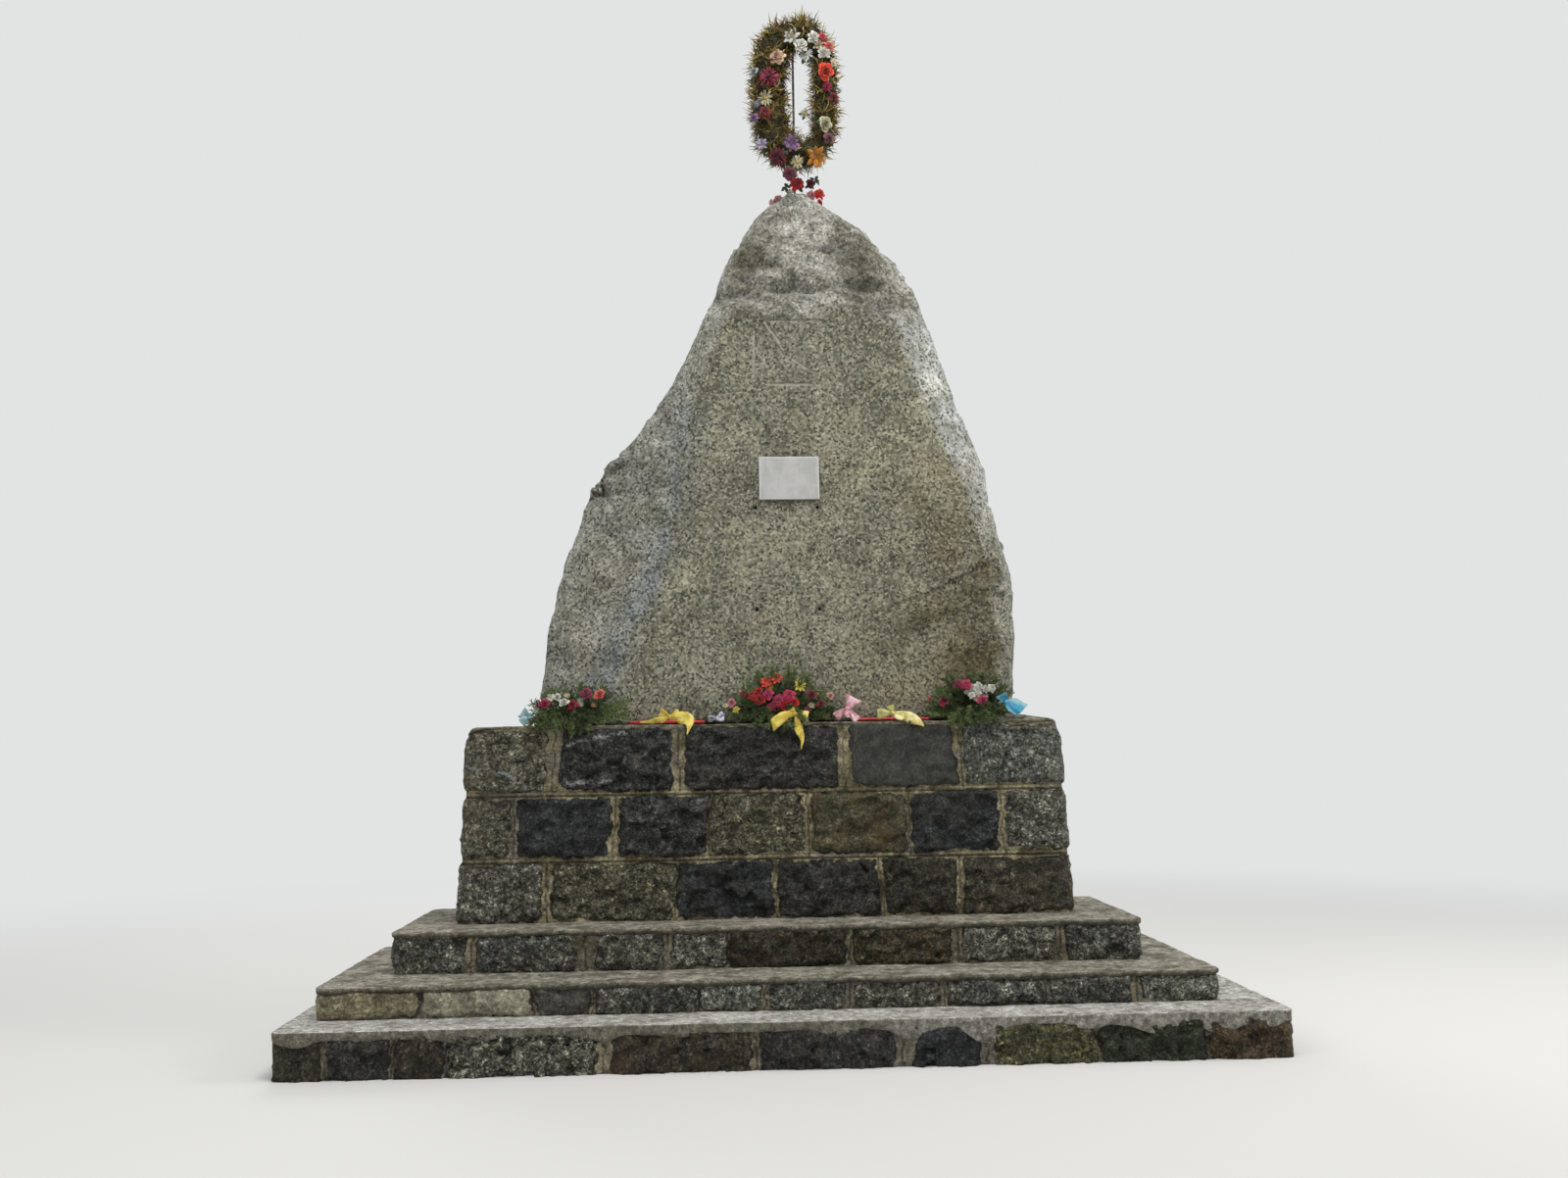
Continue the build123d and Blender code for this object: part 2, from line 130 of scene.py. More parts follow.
class Finish(Tree):
    """One material while it is made. Its nodes read object coordinates or attributes."""

    def __init__(self, name, **uniform):
        self.material = bpy.data.materials.new(name)
        self.material.use_nodes = True
        super().__init__(self.material.node_tree)
        self.shader = self.nodes["Principled BSDF"]
        self.place = self.node("ShaderNodeTexCoord", output="Object")
        for socket, value in uniform.items():
            self.feed(self.shader.inputs[socket.replace("_", " ")], value)

    def vector(self, operation, *values):
        return self.node("ShaderNodeVectorMath", {"operation": operation}, dict(enumerate(values)))

    def shade(self, colour, factor):
        """A colour made darker or lighter by a number."""
        return self.node("ShaderNodeVectorMath", {"operation": "SCALE"}, {0: colour, 3: factor})

    def parts(self, vector):
        first = self.node("ShaderNodeSeparateXYZ", values={0: vector})
        return first, first.other(1), first.other(2)

    def attribute(self, name, output="Fac"):
        return self.node("ShaderNodeAttribute", {"attribute_name": name}, output=output)

    def noise(self, size, detail=2, roughness=0.5, distortion=0, place=None):
        values = {"Vector": place or self.place, "Scale": 1 / size, "Detail": detail}
        values.update({"Roughness": roughness, "Distortion": distortion})
        return self.node("ShaderNodeTexNoise", values=values)

    def cells(self, size, place=None):
        """Two random numbers for each crystal."""
        values = {"Vector": place or self.place, "Scale": 1 / size}
        return self.parts(self.node("ShaderNodeTexVoronoi", {"feature": "F1"}, values, "Color"))[:2]

    def band(self, value, low, high):
        """From 0 at low to 1 at high, smoothly."""
        settings = {"interpolation_type": "SMOOTHSTEP"}
        return self.node("ShaderNodeMapRange", settings, {0: value, 1: low, 2: high})

    def spots(self, low, high, *noise, **place):
        """Patches where a noise lies over a band of its values."""
        return self.band(self.noise(*noise, **place), low, high)

    def mix(self, share, first, second):
        settings = {"data_type": "RGBA", "clamp_factor": True}
        return self.node("ShaderNodeMix", settings, {0: share, 6: first, 7: second}, 2)

    def tinted(self, share, colour, tint):
        """A colour stained or bleached by a tint, which keeps its grain."""
        return self.mix(share, colour, self.vector("MULTIPLY", colour, tint))

    def tools(self):
        """The methods that most finishes use, for short lines."""
        return self.noise, self.band, self.spots, self.mix, self.shade

    def done(self, colour, roughness, height, strength=1.0):
        """Links the base colour, the roughness and a relief in metres, and gives the material."""
        self.feed(self.shader.inputs["Base Color"], colour)
        if roughness is not None:
            self.feed(self.shader.inputs["Roughness"], roughness)
        values = {"Strength": strength, "Distance": 1.0, "Height": height}
        self.feed(self.shader.inputs["Normal"], self.node("ShaderNodeBump", values=values))
        return self.material


# Camera, lights and floor

CAMERA_PLACE = (-0.3098, -8.4851, 1.6290)
CAMERA_YAW = math.radians(2.4035)
CAMERA_PITCH = math.radians(6.0044)
CAMERA_ROLL = math.radians(-0.8803)
CAMERA_LENS = 33.644
BACKDROP = srgb(226, 228, 228)


def add_camera():
    camera = placed("camera", bpy.data.cameras.new("camera"))
    camera.data.lens = CAMERA_LENS
    camera.data.sensor_width = 36
    camera.data.clip_end = 200
    camera.matrix_world = (
        Matrix.Translation(CAMERA_PLACE)
        @ Matrix.Rotation(-CAMERA_YAW, 4, "Z")
        @ Matrix.Rotation(math.pi / 2 + CAMERA_PITCH, 4, "X")
        @ Matrix.Rotation(CAMERA_ROLL, 4, "Z")
    )
    bpy.context.scene.camera = camera


def add_lamp(name, place, target, size, power, tint=(1, 1, 1)):
    lamp = bpy.data.lights.new(name, "AREA")
    lamp.shape = "DISK"
    lamp.size = size
    lamp.energy = power
    lamp.color = tint
    holder = placed(name, lamp)
    holder.location = place
    holder.rotation_euler = (Vector(target) - Vector(place)).to_track_quat("-Z", "Y").to_euler()


def add_world(strength):
    """Even light on the object, and a pale backdrop for the camera and for reflections."""
    world = bpy.data.worlds.new("studio")
    world.use_nodes = True
    bpy.context.scene.world = world
    tree = Tree(world.node_tree)
    light = Socket(tree, tree.nodes["Background"].outputs[0])
    tree.feed(light.link.node.inputs["Color"], (1, 1, 1))
    tree.feed(light.link.node.inputs["Strength"], strength)
    shown = tree.node("ShaderNodeBackground", values={"Color": BACKDROP, "Strength": 1})
    chosen = tree.node("ShaderNodeMixShader", values={0: tree.seen(), 1: light, 2: shown})
    tree.feed(tree.nodes["World Output"].inputs["Surface"], chosen)


def add_floor(tone, near, far):
    """A pale floor that takes the shadow near the object and meets the backdrop far from it."""
    bpy.ops.mesh.primitive_plane_add(size=160, location=(0, 0, 0))
    floor = bpy.context.object
    floor.name = "studio_floor"
    finish = Finish("studio floor", Base_Color=tone, Roughness=0.9, Specular_IOR_Level=0.1)
    away = finish.node("ShaderNodeVectorMath", {"operation": "LENGTH"}, {0: finish.place}, "Value")
    glow = finish.node("ShaderNodeEmission", values={"Color": BACKDROP, "Strength": 1.0})
    share = finish.seen() * finish.band(away, near, far)
    shader = Socket(finish, finish.shader.outputs[0])
    both = finish.node("ShaderNodeMixShader", values={0: share, 1: shader, 2: glow})
    finish.feed(finish.nodes["Material Output"].inputs["Surface"], both)
    floor.data.materials.append(finish.material)


bpy.context.scene.view_settings.view_transform = "Standard"
add_camera()
add_world(0.46)
add_lamp("overhead", (1.5, -4.5, 12.0), (0, 0.2, 2.5), 5, 720, (1, 0.99, 0.97))
add_lamp("front_left", (-9.0, -8.5, 7.0), (0, 0, 2.4), 5, 210)
add_lamp("right", (9.5, -1.5, 6.5), (0, 0.2, 2.4), 4, 300, (1, 0.98, 0.95))
add_lamp("back", (-4.0, 10.5, 7.5), (0, 0.4, 2.4), 6, 380)
add_floor(srgb(222, 222, 220), 4.5, 12)


# Smooth random numbers for the shapes

def lattice(cells, seed):
    """A random number from -1 to 1 for each whole cell, the same each run."""
    mixed = cells[:, 0] * 73856093 ^ cells[:, 1] * 19349663 ^ cells[:, 2] * 83492791
    mixed = (mixed ^ (seed * 2654435761)) & 0x7FFFFFFF
    mixed = ((mixed ^ (mixed >> 13)) * 1274126177) & 0x7FFFFFFF
    mixed = ((mixed ^ (mixed >> 15)) * 1103515245) & 0x7FFFFFFF
    return ((mixed >> 8) & 0xFFFF) / 32767.5 - 1


def lumps(points, size, seed=0):
    """Smooth bumps of about that size, from -1 to 1."""
    place = points / size
    cell = np.floor(place).astype(np.int64)
    inside = place - cell
    ease = inside**3 * (inside * (inside * 6 - 15) + 10)
    total = np.zeros(len(points))
    for corner in itertools.product((0, 1), repeat=3):
        corner = np.array(corner)
        share = np.prod(np.where(corner, ease, 1 - ease), axis=1)
        pulls = [lattice(cell + corner, seed * 3 + axis + 1) for axis in range(3)]
        away = inside - corner
        total += share * sum(pull * away[:, axis] for axis, pull in enumerate(pulls))
    return total * 1.5


def roughness_of(points, size, octaves, seed=0):
    """Bumps of that size with smaller ones on them."""
    return sum(lumps(points, size / 2**step, seed + 11 * step) / 2**step for step in range(octaves))


def facets(points, size, seed):
    """Broken faces: a plane at its own slant round each scattered point."""
    place = points / size
    cell = np.floor(place).astype(np.int64)
    nearest = np.full(len(points), np.inf)
    height = np.zeros(len(points))
    for corner in itertools.product((-1, 0, 1), repeat=3):
        there = cell + np.array(corner)
        random = np.column_stack([lattice(there, seed + number) for number in range(6)])
        away = place - there - 0.5 - 0.45 * random[:, :3]
        distance = (away**2).sum(axis=1)
        height = np.where(distance < nearest, (away * random[:, 3:]).sum(axis=1), height)
        nearest = np.minimum(distance, nearest)
    return height * size


def bent(points, size, seed):
    """Points pushed about, so that what is laid over them has uneven borders."""
    push = [lumps(points, size, seed + axis) for axis in range(3)]
    return points + 0.35 * size * np.column_stack(push)


def smooth(value, low, high):
    share = np.clip((value - low) / (high - low), 0, 1)
    return share * share * (3 - 2 * share)


def peak(away, width):
    """1 where the distance is 0, fading to 0 beyond the width."""
    return np.exp(-((away / width) ** 2))


# Meshes

def new_mesh(name, points, faces, edges=()):
    mesh = bpy.data.meshes.new(name)
    mesh.from_pydata(points, edges, faces, shade_flat=False)
    return mesh


def add_piece(name, mesh, node, material=None):
    """A finished mesh as a piece that stands for a CAD node. A mesh that a pattern made has its
    materials already."""
    piece = placed(name, mesh)
    if material:
        mesh.materials.clear()
        mesh.materials.append(material)
    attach(piece, "root")
    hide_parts(node)
    return piece


def set_attribute(mesh, name, values):
    """A number, a vector or a colour for each point."""
    values = np.asarray(values, dtype=np.float32)
    kinds = {1: ("FLOAT", "value"), 3: ("FLOAT_VECTOR", "vector"), 4: ("FLOAT_COLOR", "color")}
    kind, field = kinds[values.size // len(mesh.vertices)]
    mesh.attributes.new(name, kind, "POINT").data.foreach_set(field, values.ravel())


def grid_faces(count, width, joined):
    """The faces between rows of points. Each row is a ring, and the rows too if joined."""
    index = np.arange(count * width).reshape(count, width)
    after = np.roll(index, -1, axis=1)
    faces = [index, after, np.roll(after, -1, axis=0), np.roll(index, -1, axis=0)]
    return np.stack(faces, axis=-1)[: count if joined else count - 1].reshape(-1, 4)


def closed_grid(name, rows):
    """A mesh from rows of points, where the last row and the last column join the first."""
    return new_mesh(name, rows.reshape(-1, 3), grid_faces(*rows.shape[:2], True))


def capped_tube(name, rows):
    """A solid from rings of points, closed at both ends."""
    count, width = rows.shape[:2]
    first = list(range(width))
    last = [(count - 1) * width + column for column in first]
    faces = grid_faces(count, width, False).tolist() + [first[::-1], last]
    mesh = new_mesh(name, rows.reshape(-1, 3), faces)
    face_outwards(mesh)
    for cap in (-2, -1):
        mesh.polygons[cap].use_smooth = False
    return mesh


def face_outwards(mesh):
    shape = bmesh.new()
    shape.from_mesh(mesh)
    bmesh.ops.recalc_face_normals(shape, faces=shape.faces)
    shape.to_mesh(mesh)
    shape.free()


class Outline:
    """A rounded rectangle, as columns of points anticlockwise from its front's left end."""

    def __init__(self, low, high, radius, spacing, side_lean=0.0, face_lean=0.0):
        self.centre_x = (low.x + high.x) / 2
        self.half_width = (high.x - low.x) / 2
        self.front, self.back, self.base = low.y, high.y, low.z
        self.radius, self.spacing = radius, spacing
        self.side_lean, self.face_lean = side_lean, face_lean
        corners = self.corners(self.base, 0)[0]
        columns = []
        walked = 0
        self.sides = []
        for end, normal in enumerate([(0, -1), (1, 0), (0, 1), (-1, 0)]):
            start = (end + 3) % 4
            length = float(np.linalg.norm(corners[end] - corners[start]))
            count = max(2, round(length / (spacing * (1.6 if end == 2 else 1))))
            for share in np.arange(count) / count:
                columns.append((start, end, share, *normal, walked + share * length))
            self.sides.append((walked, walked + length))
            walked += length
            turns = max(4, round(radius * math.pi / 2 / spacing))
            for step in range(turns):
                turn = math.radians(90 * (end - 1 + step / turns))
                place = walked + radius * math.radians(90 * step / turns)
                columns.append((end, end, 0, math.cos(turn), math.sin(turn), place))
            walked += radius * math.pi / 2
        table = np.array(columns)
        self.start, self.end = table[:, :2].T.astype(int)
        self.share, self.normal, self.walk = table[:, 2:3], table[:, 3:5], table[:, 5]
        self.length = walked
        arc = radius * math.pi / 4
        away = np.min([np.abs(self.walk - end - arc) for _, end in self.sides], axis=0)
        self.calm = 0.35 + 0.65 * smooth(np.minimum(away, self.walk + arc), arc, arc + 0.12)

    def corners(self, z, inset):
        """The centres of the four corner arcs, and their radius."""
        rise = z - self.base
        radius = max(self.radius - inset, 0.004)
        reach = self.half_width - self.side_lean * rise - inset - radius
        front = self.front + self.face_lean * rise + inset + radius
        back = self.back - self.face_lean * rise - inset - radius
        right = self.centre_x + reach
        left = self.centre_x - reach
        return np.array([(right, front), (right, back), (left, back), (left, front)]), radius

    def ring(self, z, inset=0.0):
        """One row of points at a height, moved in from the outline."""
        corners, radius = self.corners(z, inset)
        flat = corners[self.start] * (1 - self.share) + corners[self.end] * self.share
        flat = flat + radius * self.normal
        return np.column_stack([flat, np.full(len(flat), z)])

    def corner_drop(self, points, reach=0.055):
        """How much lower the worn upper ends lie than the top."""
        half = self.half_width - self.side_lean * (points[:, 2] - self.base)
        inside = half - np.abs(points[:, 0] - self.centre_x)
        share = np.clip(1 - inside / reach, 0, 0.92)
        return reach * (1 - np.sqrt(1 - share**2))

    def front_walk(self, x, z):
        """How far along the walk a point of the front lies."""
        corners = self.corners(z, 0)[0]
        share = (x - corners[3][0]) / (corners[0][0] - corners[3][0])
        return share * self.sides[0][1]


# Masonry: kinds of stone, with the tone as it shows, then the strength of its speckle, rust
# and veins, and how rough it was left

STONE_KINDS = {
    "charcoal": ((45, 45, 43), 0.80, 0.10, 0.10, 1.1),
    "blue_charcoal": ((41, 43, 43), 0.70, 0.00, 0.05, 1.1),
    "veined_charcoal": ((46, 47, 46), 0.85, 0.00, 0.30, 1.4),
    "slate": ((60, 61, 57), 0.25, 0.00, 0.15, 0.3),
    "salt_grey": ((82, 84, 77), 0.85, 0.10, 0.00, 0.6),
    "green_grey": ((84, 83, 70), 0.85, 0.25, 0.10, 0.8),
    "olive": ((76, 75, 60), 0.90, 0.20, 0.05, 0.9),
    "dark_olive": ((46, 45, 35), 0.80, 0.20, 0.05, 1.0),
    "rusty": ((68, 65, 47), 0.60, 0.70, 0.05, 0.7),
    "red_brown": ((47, 43, 34), 0.80, 0.35, 0.05, 1.0),
    "dark_red": ((60, 51, 37), 0.75, 0.30, 0.00, 0.9),
    "brown_olive": ((64, 58, 43), 0.80, 0.30, 0.05, 1.0),
    "moss_olive": ((68, 68, 46), 0.85, 0.20, 0.05, 0.9),
    "moss_charcoal": ((39, 43, 32), 0.75, 0.10, 0.05, 1.0),
    "tan": ((136, 129, 103), 0.45, 0.20, 0.05, 0.5),
    "pale_olive": ((152, 149, 129), 0.35, 0.15, 0.05, 0.4),
    "pale_grey": ((100, 102, 93), 0.85, 0.05, 0.05, 0.8),
    "dark_grey": ((77, 78, 71), 0.95, 0.10, 0.10, 0.9),
    "plain_grey": ((72, 72, 66), 0.42, 0.10, 0.10, 0.6),
    "grey_olive": ((61, 59, 47), 0.80, 0.15, 0.05, 0.9),
    "mid_grey": ((86, 86, 77), 0.95, 0.10, 0.10, 0.9),
    "white_grey": ((82, 82, 72), 1.10, 0.05, 0.20, 1.6),
}

# The stones of each front from the left: the first stone, then each joint's x, its width in
# millimetres and the stone that follows it
FRONTS = {
    "ground_step": [
        "dark_olive", (-2.31, 24, "charcoal"), (-1.98, 30, "red_brown"), (-1.71, 26, "white_grey"),
        (-0.93, 80, "red_brown"), (-0.17, 48, "charcoal"), (0.58, 90, "blue_charcoal"),
        (1.00, 80, "moss_olive"), (1.57, 22, "moss_charcoal"), (2.12, 20, "dark_red"),
    ],
    "middle_step": [
        "tan", (-1.90, 22, "pale_olive"), (-1.32, 28, "plain_grey"), (-1.01, 34, "dark_grey"),
        (-0.46, 36, "pale_grey"), (-0.11, 40, "dark_grey"), (0.33, 60, "mid_grey"),
        (0.83, 26, "dark_grey"), (1.37, 30, "dark_grey"), (1.86, 54, "pale_grey"),
    ],
    "upper_step": [
        "dark_grey", (-1.71, 70, "dark_grey"), (-1.09, 120, "mid_grey"), (-0.64, 52, "mid_grey"),
        (-0.30, 24, "red_brown"), (0.37, 42, "brown_olive"), (0.97, 64, "mid_grey"),
        (1.54, 70, "dark_grey"),
    ],
    "plinth_bottom_course": [
        "mid_grey", (-1.34, 58, "olive"), (-0.59, 22, "blue_charcoal"), (-0.02, 36, "charcoal"),
        (0.59, 40, "dark_olive"), (1.05, 46, "grey_olive"),
    ],
    "plinth_middle_course": [
        "green_grey", (-1.53, 48, "blue_charcoal"), (-0.95, 58, "veined_charcoal"),
        (-0.40, 22, "olive"), (0.17, 46, "rusty"), (0.76, 42, "blue_charcoal"),
        (1.31, 38, "mid_grey"),
    ],
    "plinth_top_course": [
        "green_grey", (-1.30, 92, "veined_charcoal"), (-0.58, 82, "charcoal"), (0.39, 76, "slate"),
        (1.07, 54, "salt_grey"),
    ],
}
HIDDEN_STONES = [
    "charcoal", "blue_charcoal", "dark_grey", "dark_grey", "mid_grey", "salt_grey",
    "olive", "dark_olive", "green_grey", "rusty", "red_brown", "slate",
]
STONE_LENGTH = 0.62


def lay_course(node, outline, seed):
    """The joints and stones of one course, all the way round."""
    low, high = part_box(node)
    middle = (low.z + high.z) / 2
    random = np.random.default_rng(seed)
    joints = [
        (outline.front_walk(x, middle), width / 2000, kind) for x, width, kind in FRONTS[node][1:]
    ]
    for start, end in outline.sides[1:]:
        count = max(1, round((end - start) / STONE_LENGTH))
        offset = random.choice((0.36, 0.64))
        for number in range(count):
            place = (number + offset + random.uniform(-0.12, 0.12)) / count
            kind = HIDDEN_STONES[random.integers(len(HIDDEN_STONES))]
            width = random.uniform(22, 62) / 2000
            joints.append((start + (end - start) * place, width, kind))
    joints[-1] = (*joints[-1][:2], FRONTS[node][0])
    kinds = [STONE_KINDS[kind] for _, _, kind in joints]
    count = len(joints)
    return {
        "low": low.z,
        "high": high.z,
        "walk": np.array([joint[0] for joint in joints]),
        "half_joint": np.array([joint[1] for joint in joints]),
        "tone": np.array([srgb(*kind[0]) for kind in kinds]) * random.uniform(0.92, 1.08, (count, 1)),
        "kind": np.array([kind[1:4] for kind in kinds]),
        "relief": np.array([kind[4] for kind in kinds]),
        "lift": random.uniform(-0.002, 0.005, count),
        "corner": random.uniform(0.006, 0.032, count),
        "gap": random.uniform(0.002, 0.014, count) - (0 if node.startswith("plinth") else 0.006),
        "tilt": random.uniform(-0.02, 0.02, (count, 2)),
        "seed": random.uniform(0, 1, count),
    }


def stones_at(courses, outline, points, walk):
    """For each point, how far it lies inside its stone's outline, and that stone's numbers."""
    z = points[:, 2]
    along = walk + 0.016 * lumps(points, 0.15, 1) + 0.016 * lumps(points, 0.055, 2)
    up = z + 0.012 * lumps(points, 0.19, 3) + 0.012 * lumps(points, 0.055, 4)
    found = {key: np.zeros((len(z), 3)) for key in ("tone", "kind")}
    found.update({key: np.zeros(len(z)) for key in ("edge", "relief", "lift", "seed")})
    borders = [(under["high"] + over["low"]) / 2 for under, over in zip(courses, courses[1:])]
    for course, floor, ceiling in zip(courses, [-np.inf] + borders, borders + [np.inf]):
        here = (z >= floor) & (z < ceiling)
        place = (along[here] - course["walk"][0]) % outline.length
        starts = course["walk"] - course["walk"][0]
        stone = np.searchsorted(starts, place, side="right") - 1
        ends = np.append(starts[1:], outline.length)
        left = starts[stone] + course["half_joint"][stone]
        right = ends[stone] - np.roll(course["half_joint"], -1)[stone]
        half_height = (course["high"] - course["low"]) / 2 - course["gap"][stone]
        across = place - (left + right) / 2
        level = up[here] - (course["low"] + course["high"]) / 2
        turned = level - course["tilt"][stone, 0] * across
        across = across - course["tilt"][stone, 1] * level
        corner = course["corner"][stone]
        sides = [np.abs(across) - (right - left) / 2 + corner, np.abs(turned) - half_height + corner]
        reach = np.stack(sides)
        outside = np.hypot(*np.maximum(reach, 0)) + np.minimum(reach.max(axis=0), 0)
        found["edge"][here] = corner - outside
        for key in ("tone", "kind", "relief", "lift", "seed"):
            found[key][here] = course[key][stone]
    return found


MORTAR_DEPTH = 0.005

# Pale veins that cross two stones of the top course, as x and z
VEINS = [
    [(-1.80, 1.525), (-1.66, 1.499), (-1.55, 1.452), (-1.44, 1.400), (-1.33, 1.385)],
    [(-1.22, 1.644), (-1.09, 1.665), (-0.96, 1.697), (-0.88, 1.701)],
    [(-1.22, 1.413), (-1.09, 1.433), (-1.05, 1.405), (-0.96, 1.426)],
]


def masonry(node, outline, courses, material, sink=0.0):
    """The stones and mortar of one node, as a skin round the structure."""
    low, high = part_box(node)
    bottom = low.z - sink
    count = max(2, round((high.z - bottom) / outline.spacing)) + 1
    rows = np.stack([outline.ring(z) for z in np.linspace(bottom, high.z, count)])
    points = rows.reshape(-1, 3)
    normal = np.tile(outline.normal, (count, 1))
    found = stones_at(courses, outline, points, np.tile(outline.walk, count))
    edge = found["edge"]
    shown = points + found["seed"][:, None] * 7.3
    body = smooth(edge, -0.004, 0.008)
    crown = 0.009 * (1 - np.exp(-np.maximum(edge, 0) / 0.022))
    uneven = bent(shown, 0.09, 24)
    faces = 0.004 * roughness_of(shown, 0.13, 3, 21)
    faces = faces + 0.26 * facets(uneven * (1, 1, 1.4), 0.13, 30) + 0.22 * facets(uneven, 0.055, 40)
    stone = found["lift"] + crown + found["relief"] * faces * np.tile(outline.calm, count)
    mortar = -MORTAR_DEPTH + 0.004 * lumps(points, 0.12, 31) + 0.0016 * lumps(points, 0.03, 32)
    out = body * stone + (1 - body) * mortar
    points = points + np.column_stack([normal * out[:, None], np.zeros(len(out))])
    if node == "plinth_top_course":
        near_top = smooth(points[:, 2], high.z - 0.12, high.z)
        points[:, 2] -= outline.corner_drop(points) * near_top
    mesh = capped_tube(node + "_stones", points.reshape(rows.shape))
    set_attribute(mesh, "stone_edge", edge)
    set_attribute(mesh, "stone_tone", np.column_stack([found["tone"], found["seed"]]))
    set_attribute(mesh, "stone_kind", found["kind"])
    strayed = bent(points, 0.06, 35)[:, [0, 2]]
    vein = np.where(normal[:, 1] < -0.5, nearest(strayed, VEINS), 9)
    set_attribute(mesh, "vein", 1 - smooth(vein, 0.002, 0.017))
    return add_piece(node + "_stones", mesh, node, material)


def masonry_finish(name, pale, dark, cement, cement_share):
    """Granite of many kinds, told apart by attributes, in mortar."""
    finish = Finish(name, Specular_IOR_Level=0.3)
    noise, band, spots, mix, shade = finish.tools()
    edge = finish.attribute("stone_edge")
    tone = finish.attribute("stone_tone", "Color")
    seed = finish.attribute("stone_tone", "Alpha")
    speckle, rust, veins = finish.parts(finish.attribute("stone_kind", "Vector"))
    own = finish.vector("ADD", finish.place, shade((31.0, 17.0, 23.0), seed))
    broad = noise(0.13, 3, 0.6, place=own)
    coarse = noise(0.042, 3, 0.7, place=own)
    crystals = noise(0.017, 3, 0.75, place=own)
    pick, shine = finish.cells(0.0095, own)
    grain = (coarse - 0.5) * 9.5 + (crystals - 0.5) * 10.0 + (pick - 0.5) * 2.6
    stone = shade(tone, 2.0 ** (speckle * grain + (broad - 0.5) * 3.6) * 0.86)
    scuffs = spots(0.55, 0.63, 0.032, 4, 0.75, 0.6, place=own) * speckle * 0.60
    stone = mix(scuffs, stone, shade(tone, 2.3))
    # Pale flecks: partly pale crystals, partly painted glints off the crystals
    stone = mix(band(shine, 0.86, 0.94) * speckle * 0.16, stone, srgb(136, 137, 130))
    rusty = spots(0.48, 0.66, 0.09, 3, 0.6, place=own) * rust * 0.6
    stone = mix(rusty, stone, srgb(88, 68, 42))
    seam = 1 - band(abs(noise(0.42, 2, 0.5, 0.3, own) - 0.5), 0.001, 0.010)
    seam = seam * spots(0.42, 0.60, 0.06, place=own) * veins * 0.6
    vein = finish.attribute("vein") * band(crystals, 0.42, 0.56)
    stone = mix(finish.maths("MAXIMUM", seam, vein), stone, srgb(150, 152, 152))
    sand = noise(0.011, 3, 0.75)
    lumpy = noise(0.045, 3, 0.7)
    mortar = mix(spots(0.38, 0.62, 0.16, 4, 0.6), pale, dark)
    mortar = mix(spots(0.62 - cement_share, 0.70 - cement_share, 0.42), mortar, cement)
    mortar = shade(mortar, 2.0 ** ((sand - 0.5) * 4.0 + (lumpy - 0.5) * 5.0))
    smears = (noise(0.035, 4, 0.7) - 0.5) * 0.045
    ragged = edge + smears + (noise(0.20) - 0.53) * 0.030
    is_stone = band(ragged, -0.002, 0.002)
    # crack: a thin line along each stone's border with the mortar, a groove in the bump and painted shade
    # in the gap
    crack = (1 - band(abs(ragged + 0.002), 0.0018, 0.0070)) * spots(0.46, 0.54, 0.12, 3)
    rim = 1 - (1 - band(ragged, 0.0, 0.020)) * 0.14
    colour = mix(is_stone, mortar, shade(stone, rim))
    grime = spots(0.46, 0.68, 0.50, 4, 0.62)
    colour = mix(grime * (0.28 - is_stone * 0.10), colour, srgb(50, 49, 38))
    colour = mix(spots(0.60, 0.72, 0.22, 4, 0.65) * 0.30, colour, srgb(104, 100, 84))
    # Painted shade in the gaps between stone and mortar
    colour = shade(colour, 1 - crack * 0.82)
    relief = speckle * (coarse * 0.026 + crystals * 0.012) + pick * 0.0008 + is_stone * 0.003
    relief = relief - crack * 0.006 + (sand * 0.004 + lumpy * 0.012) * (1 - is_stone)
    return finish.done(colour, 0.94 - is_stone * 0.12, relief)


plinth_masonry = masonry_finish(
    "granite in sandy mortar", srgb(142, 134, 108), srgb(92, 86, 64), srgb(116, 110, 96), 0.08
)
step_masonry = masonry_finish(
    "granite in grey mortar", srgb(134, 127, 106), srgb(96, 91, 76), srgb(112, 109, 98), 0.12
)

STONE_SPACING = 0.0122
SCREED_SPACING = 0.0175
PLINTH_CORNER = 0.07
STEP_CORNER = 0.045
SINK = 0.012
# The lowest stones go this far into the ground, so that no joint shows under them
BURIED = 0.05
PLINTH_NODES = [
    "plinth_bottom_course", "plinth_lower_bed_joint", "plinth_middle_course",
    "plinth_upper_bed_joint", "plinth_top_course",
]
STEP_NODES = ["ground_step", "middle_step", "upper_step"]


def build_plinth():
    low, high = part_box("plinth_bottom_course")
    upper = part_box("plinth_middle_course")[0]
    rise = upper.z - low.z
    leans = ((upper.x - low.x) / rise, (upper.y - low.y) / rise)
    outline = Outline(low, high, PLINTH_CORNER, STONE_SPACING, *leans)
    courses = [
        lay_course(node, outline, 40 + number)
        for number, node in enumerate(PLINTH_NODES)
        if node.endswith("course")
    ]
    for number, node in enumerate(PLINTH_NODES):
        masonry(node, outline, courses, plinth_masonry, 0.0 if number else SINK)
    return Outline(low, high, PLINTH_CORNER, SCREED_SPACING, *leans)


def build_steps():
    outlines = []
    for number, node in enumerate(STEP_NODES):
        low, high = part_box(node)
        outline = Outline(low, high, STEP_CORNER, STONE_SPACING)
        course = lay_course(node, outline, 50 + number)
        if number == 0:
            course["low"] -= BURIED
        masonry(node, outline, [course], step_masonry, SINK if number else 0.0)
        outlines.append(Outline(low, high, STEP_CORNER, SCREED_SPACING))
    return outlines


# Screeds: the cement that caps the steps, and the skim of mortar on the plinth

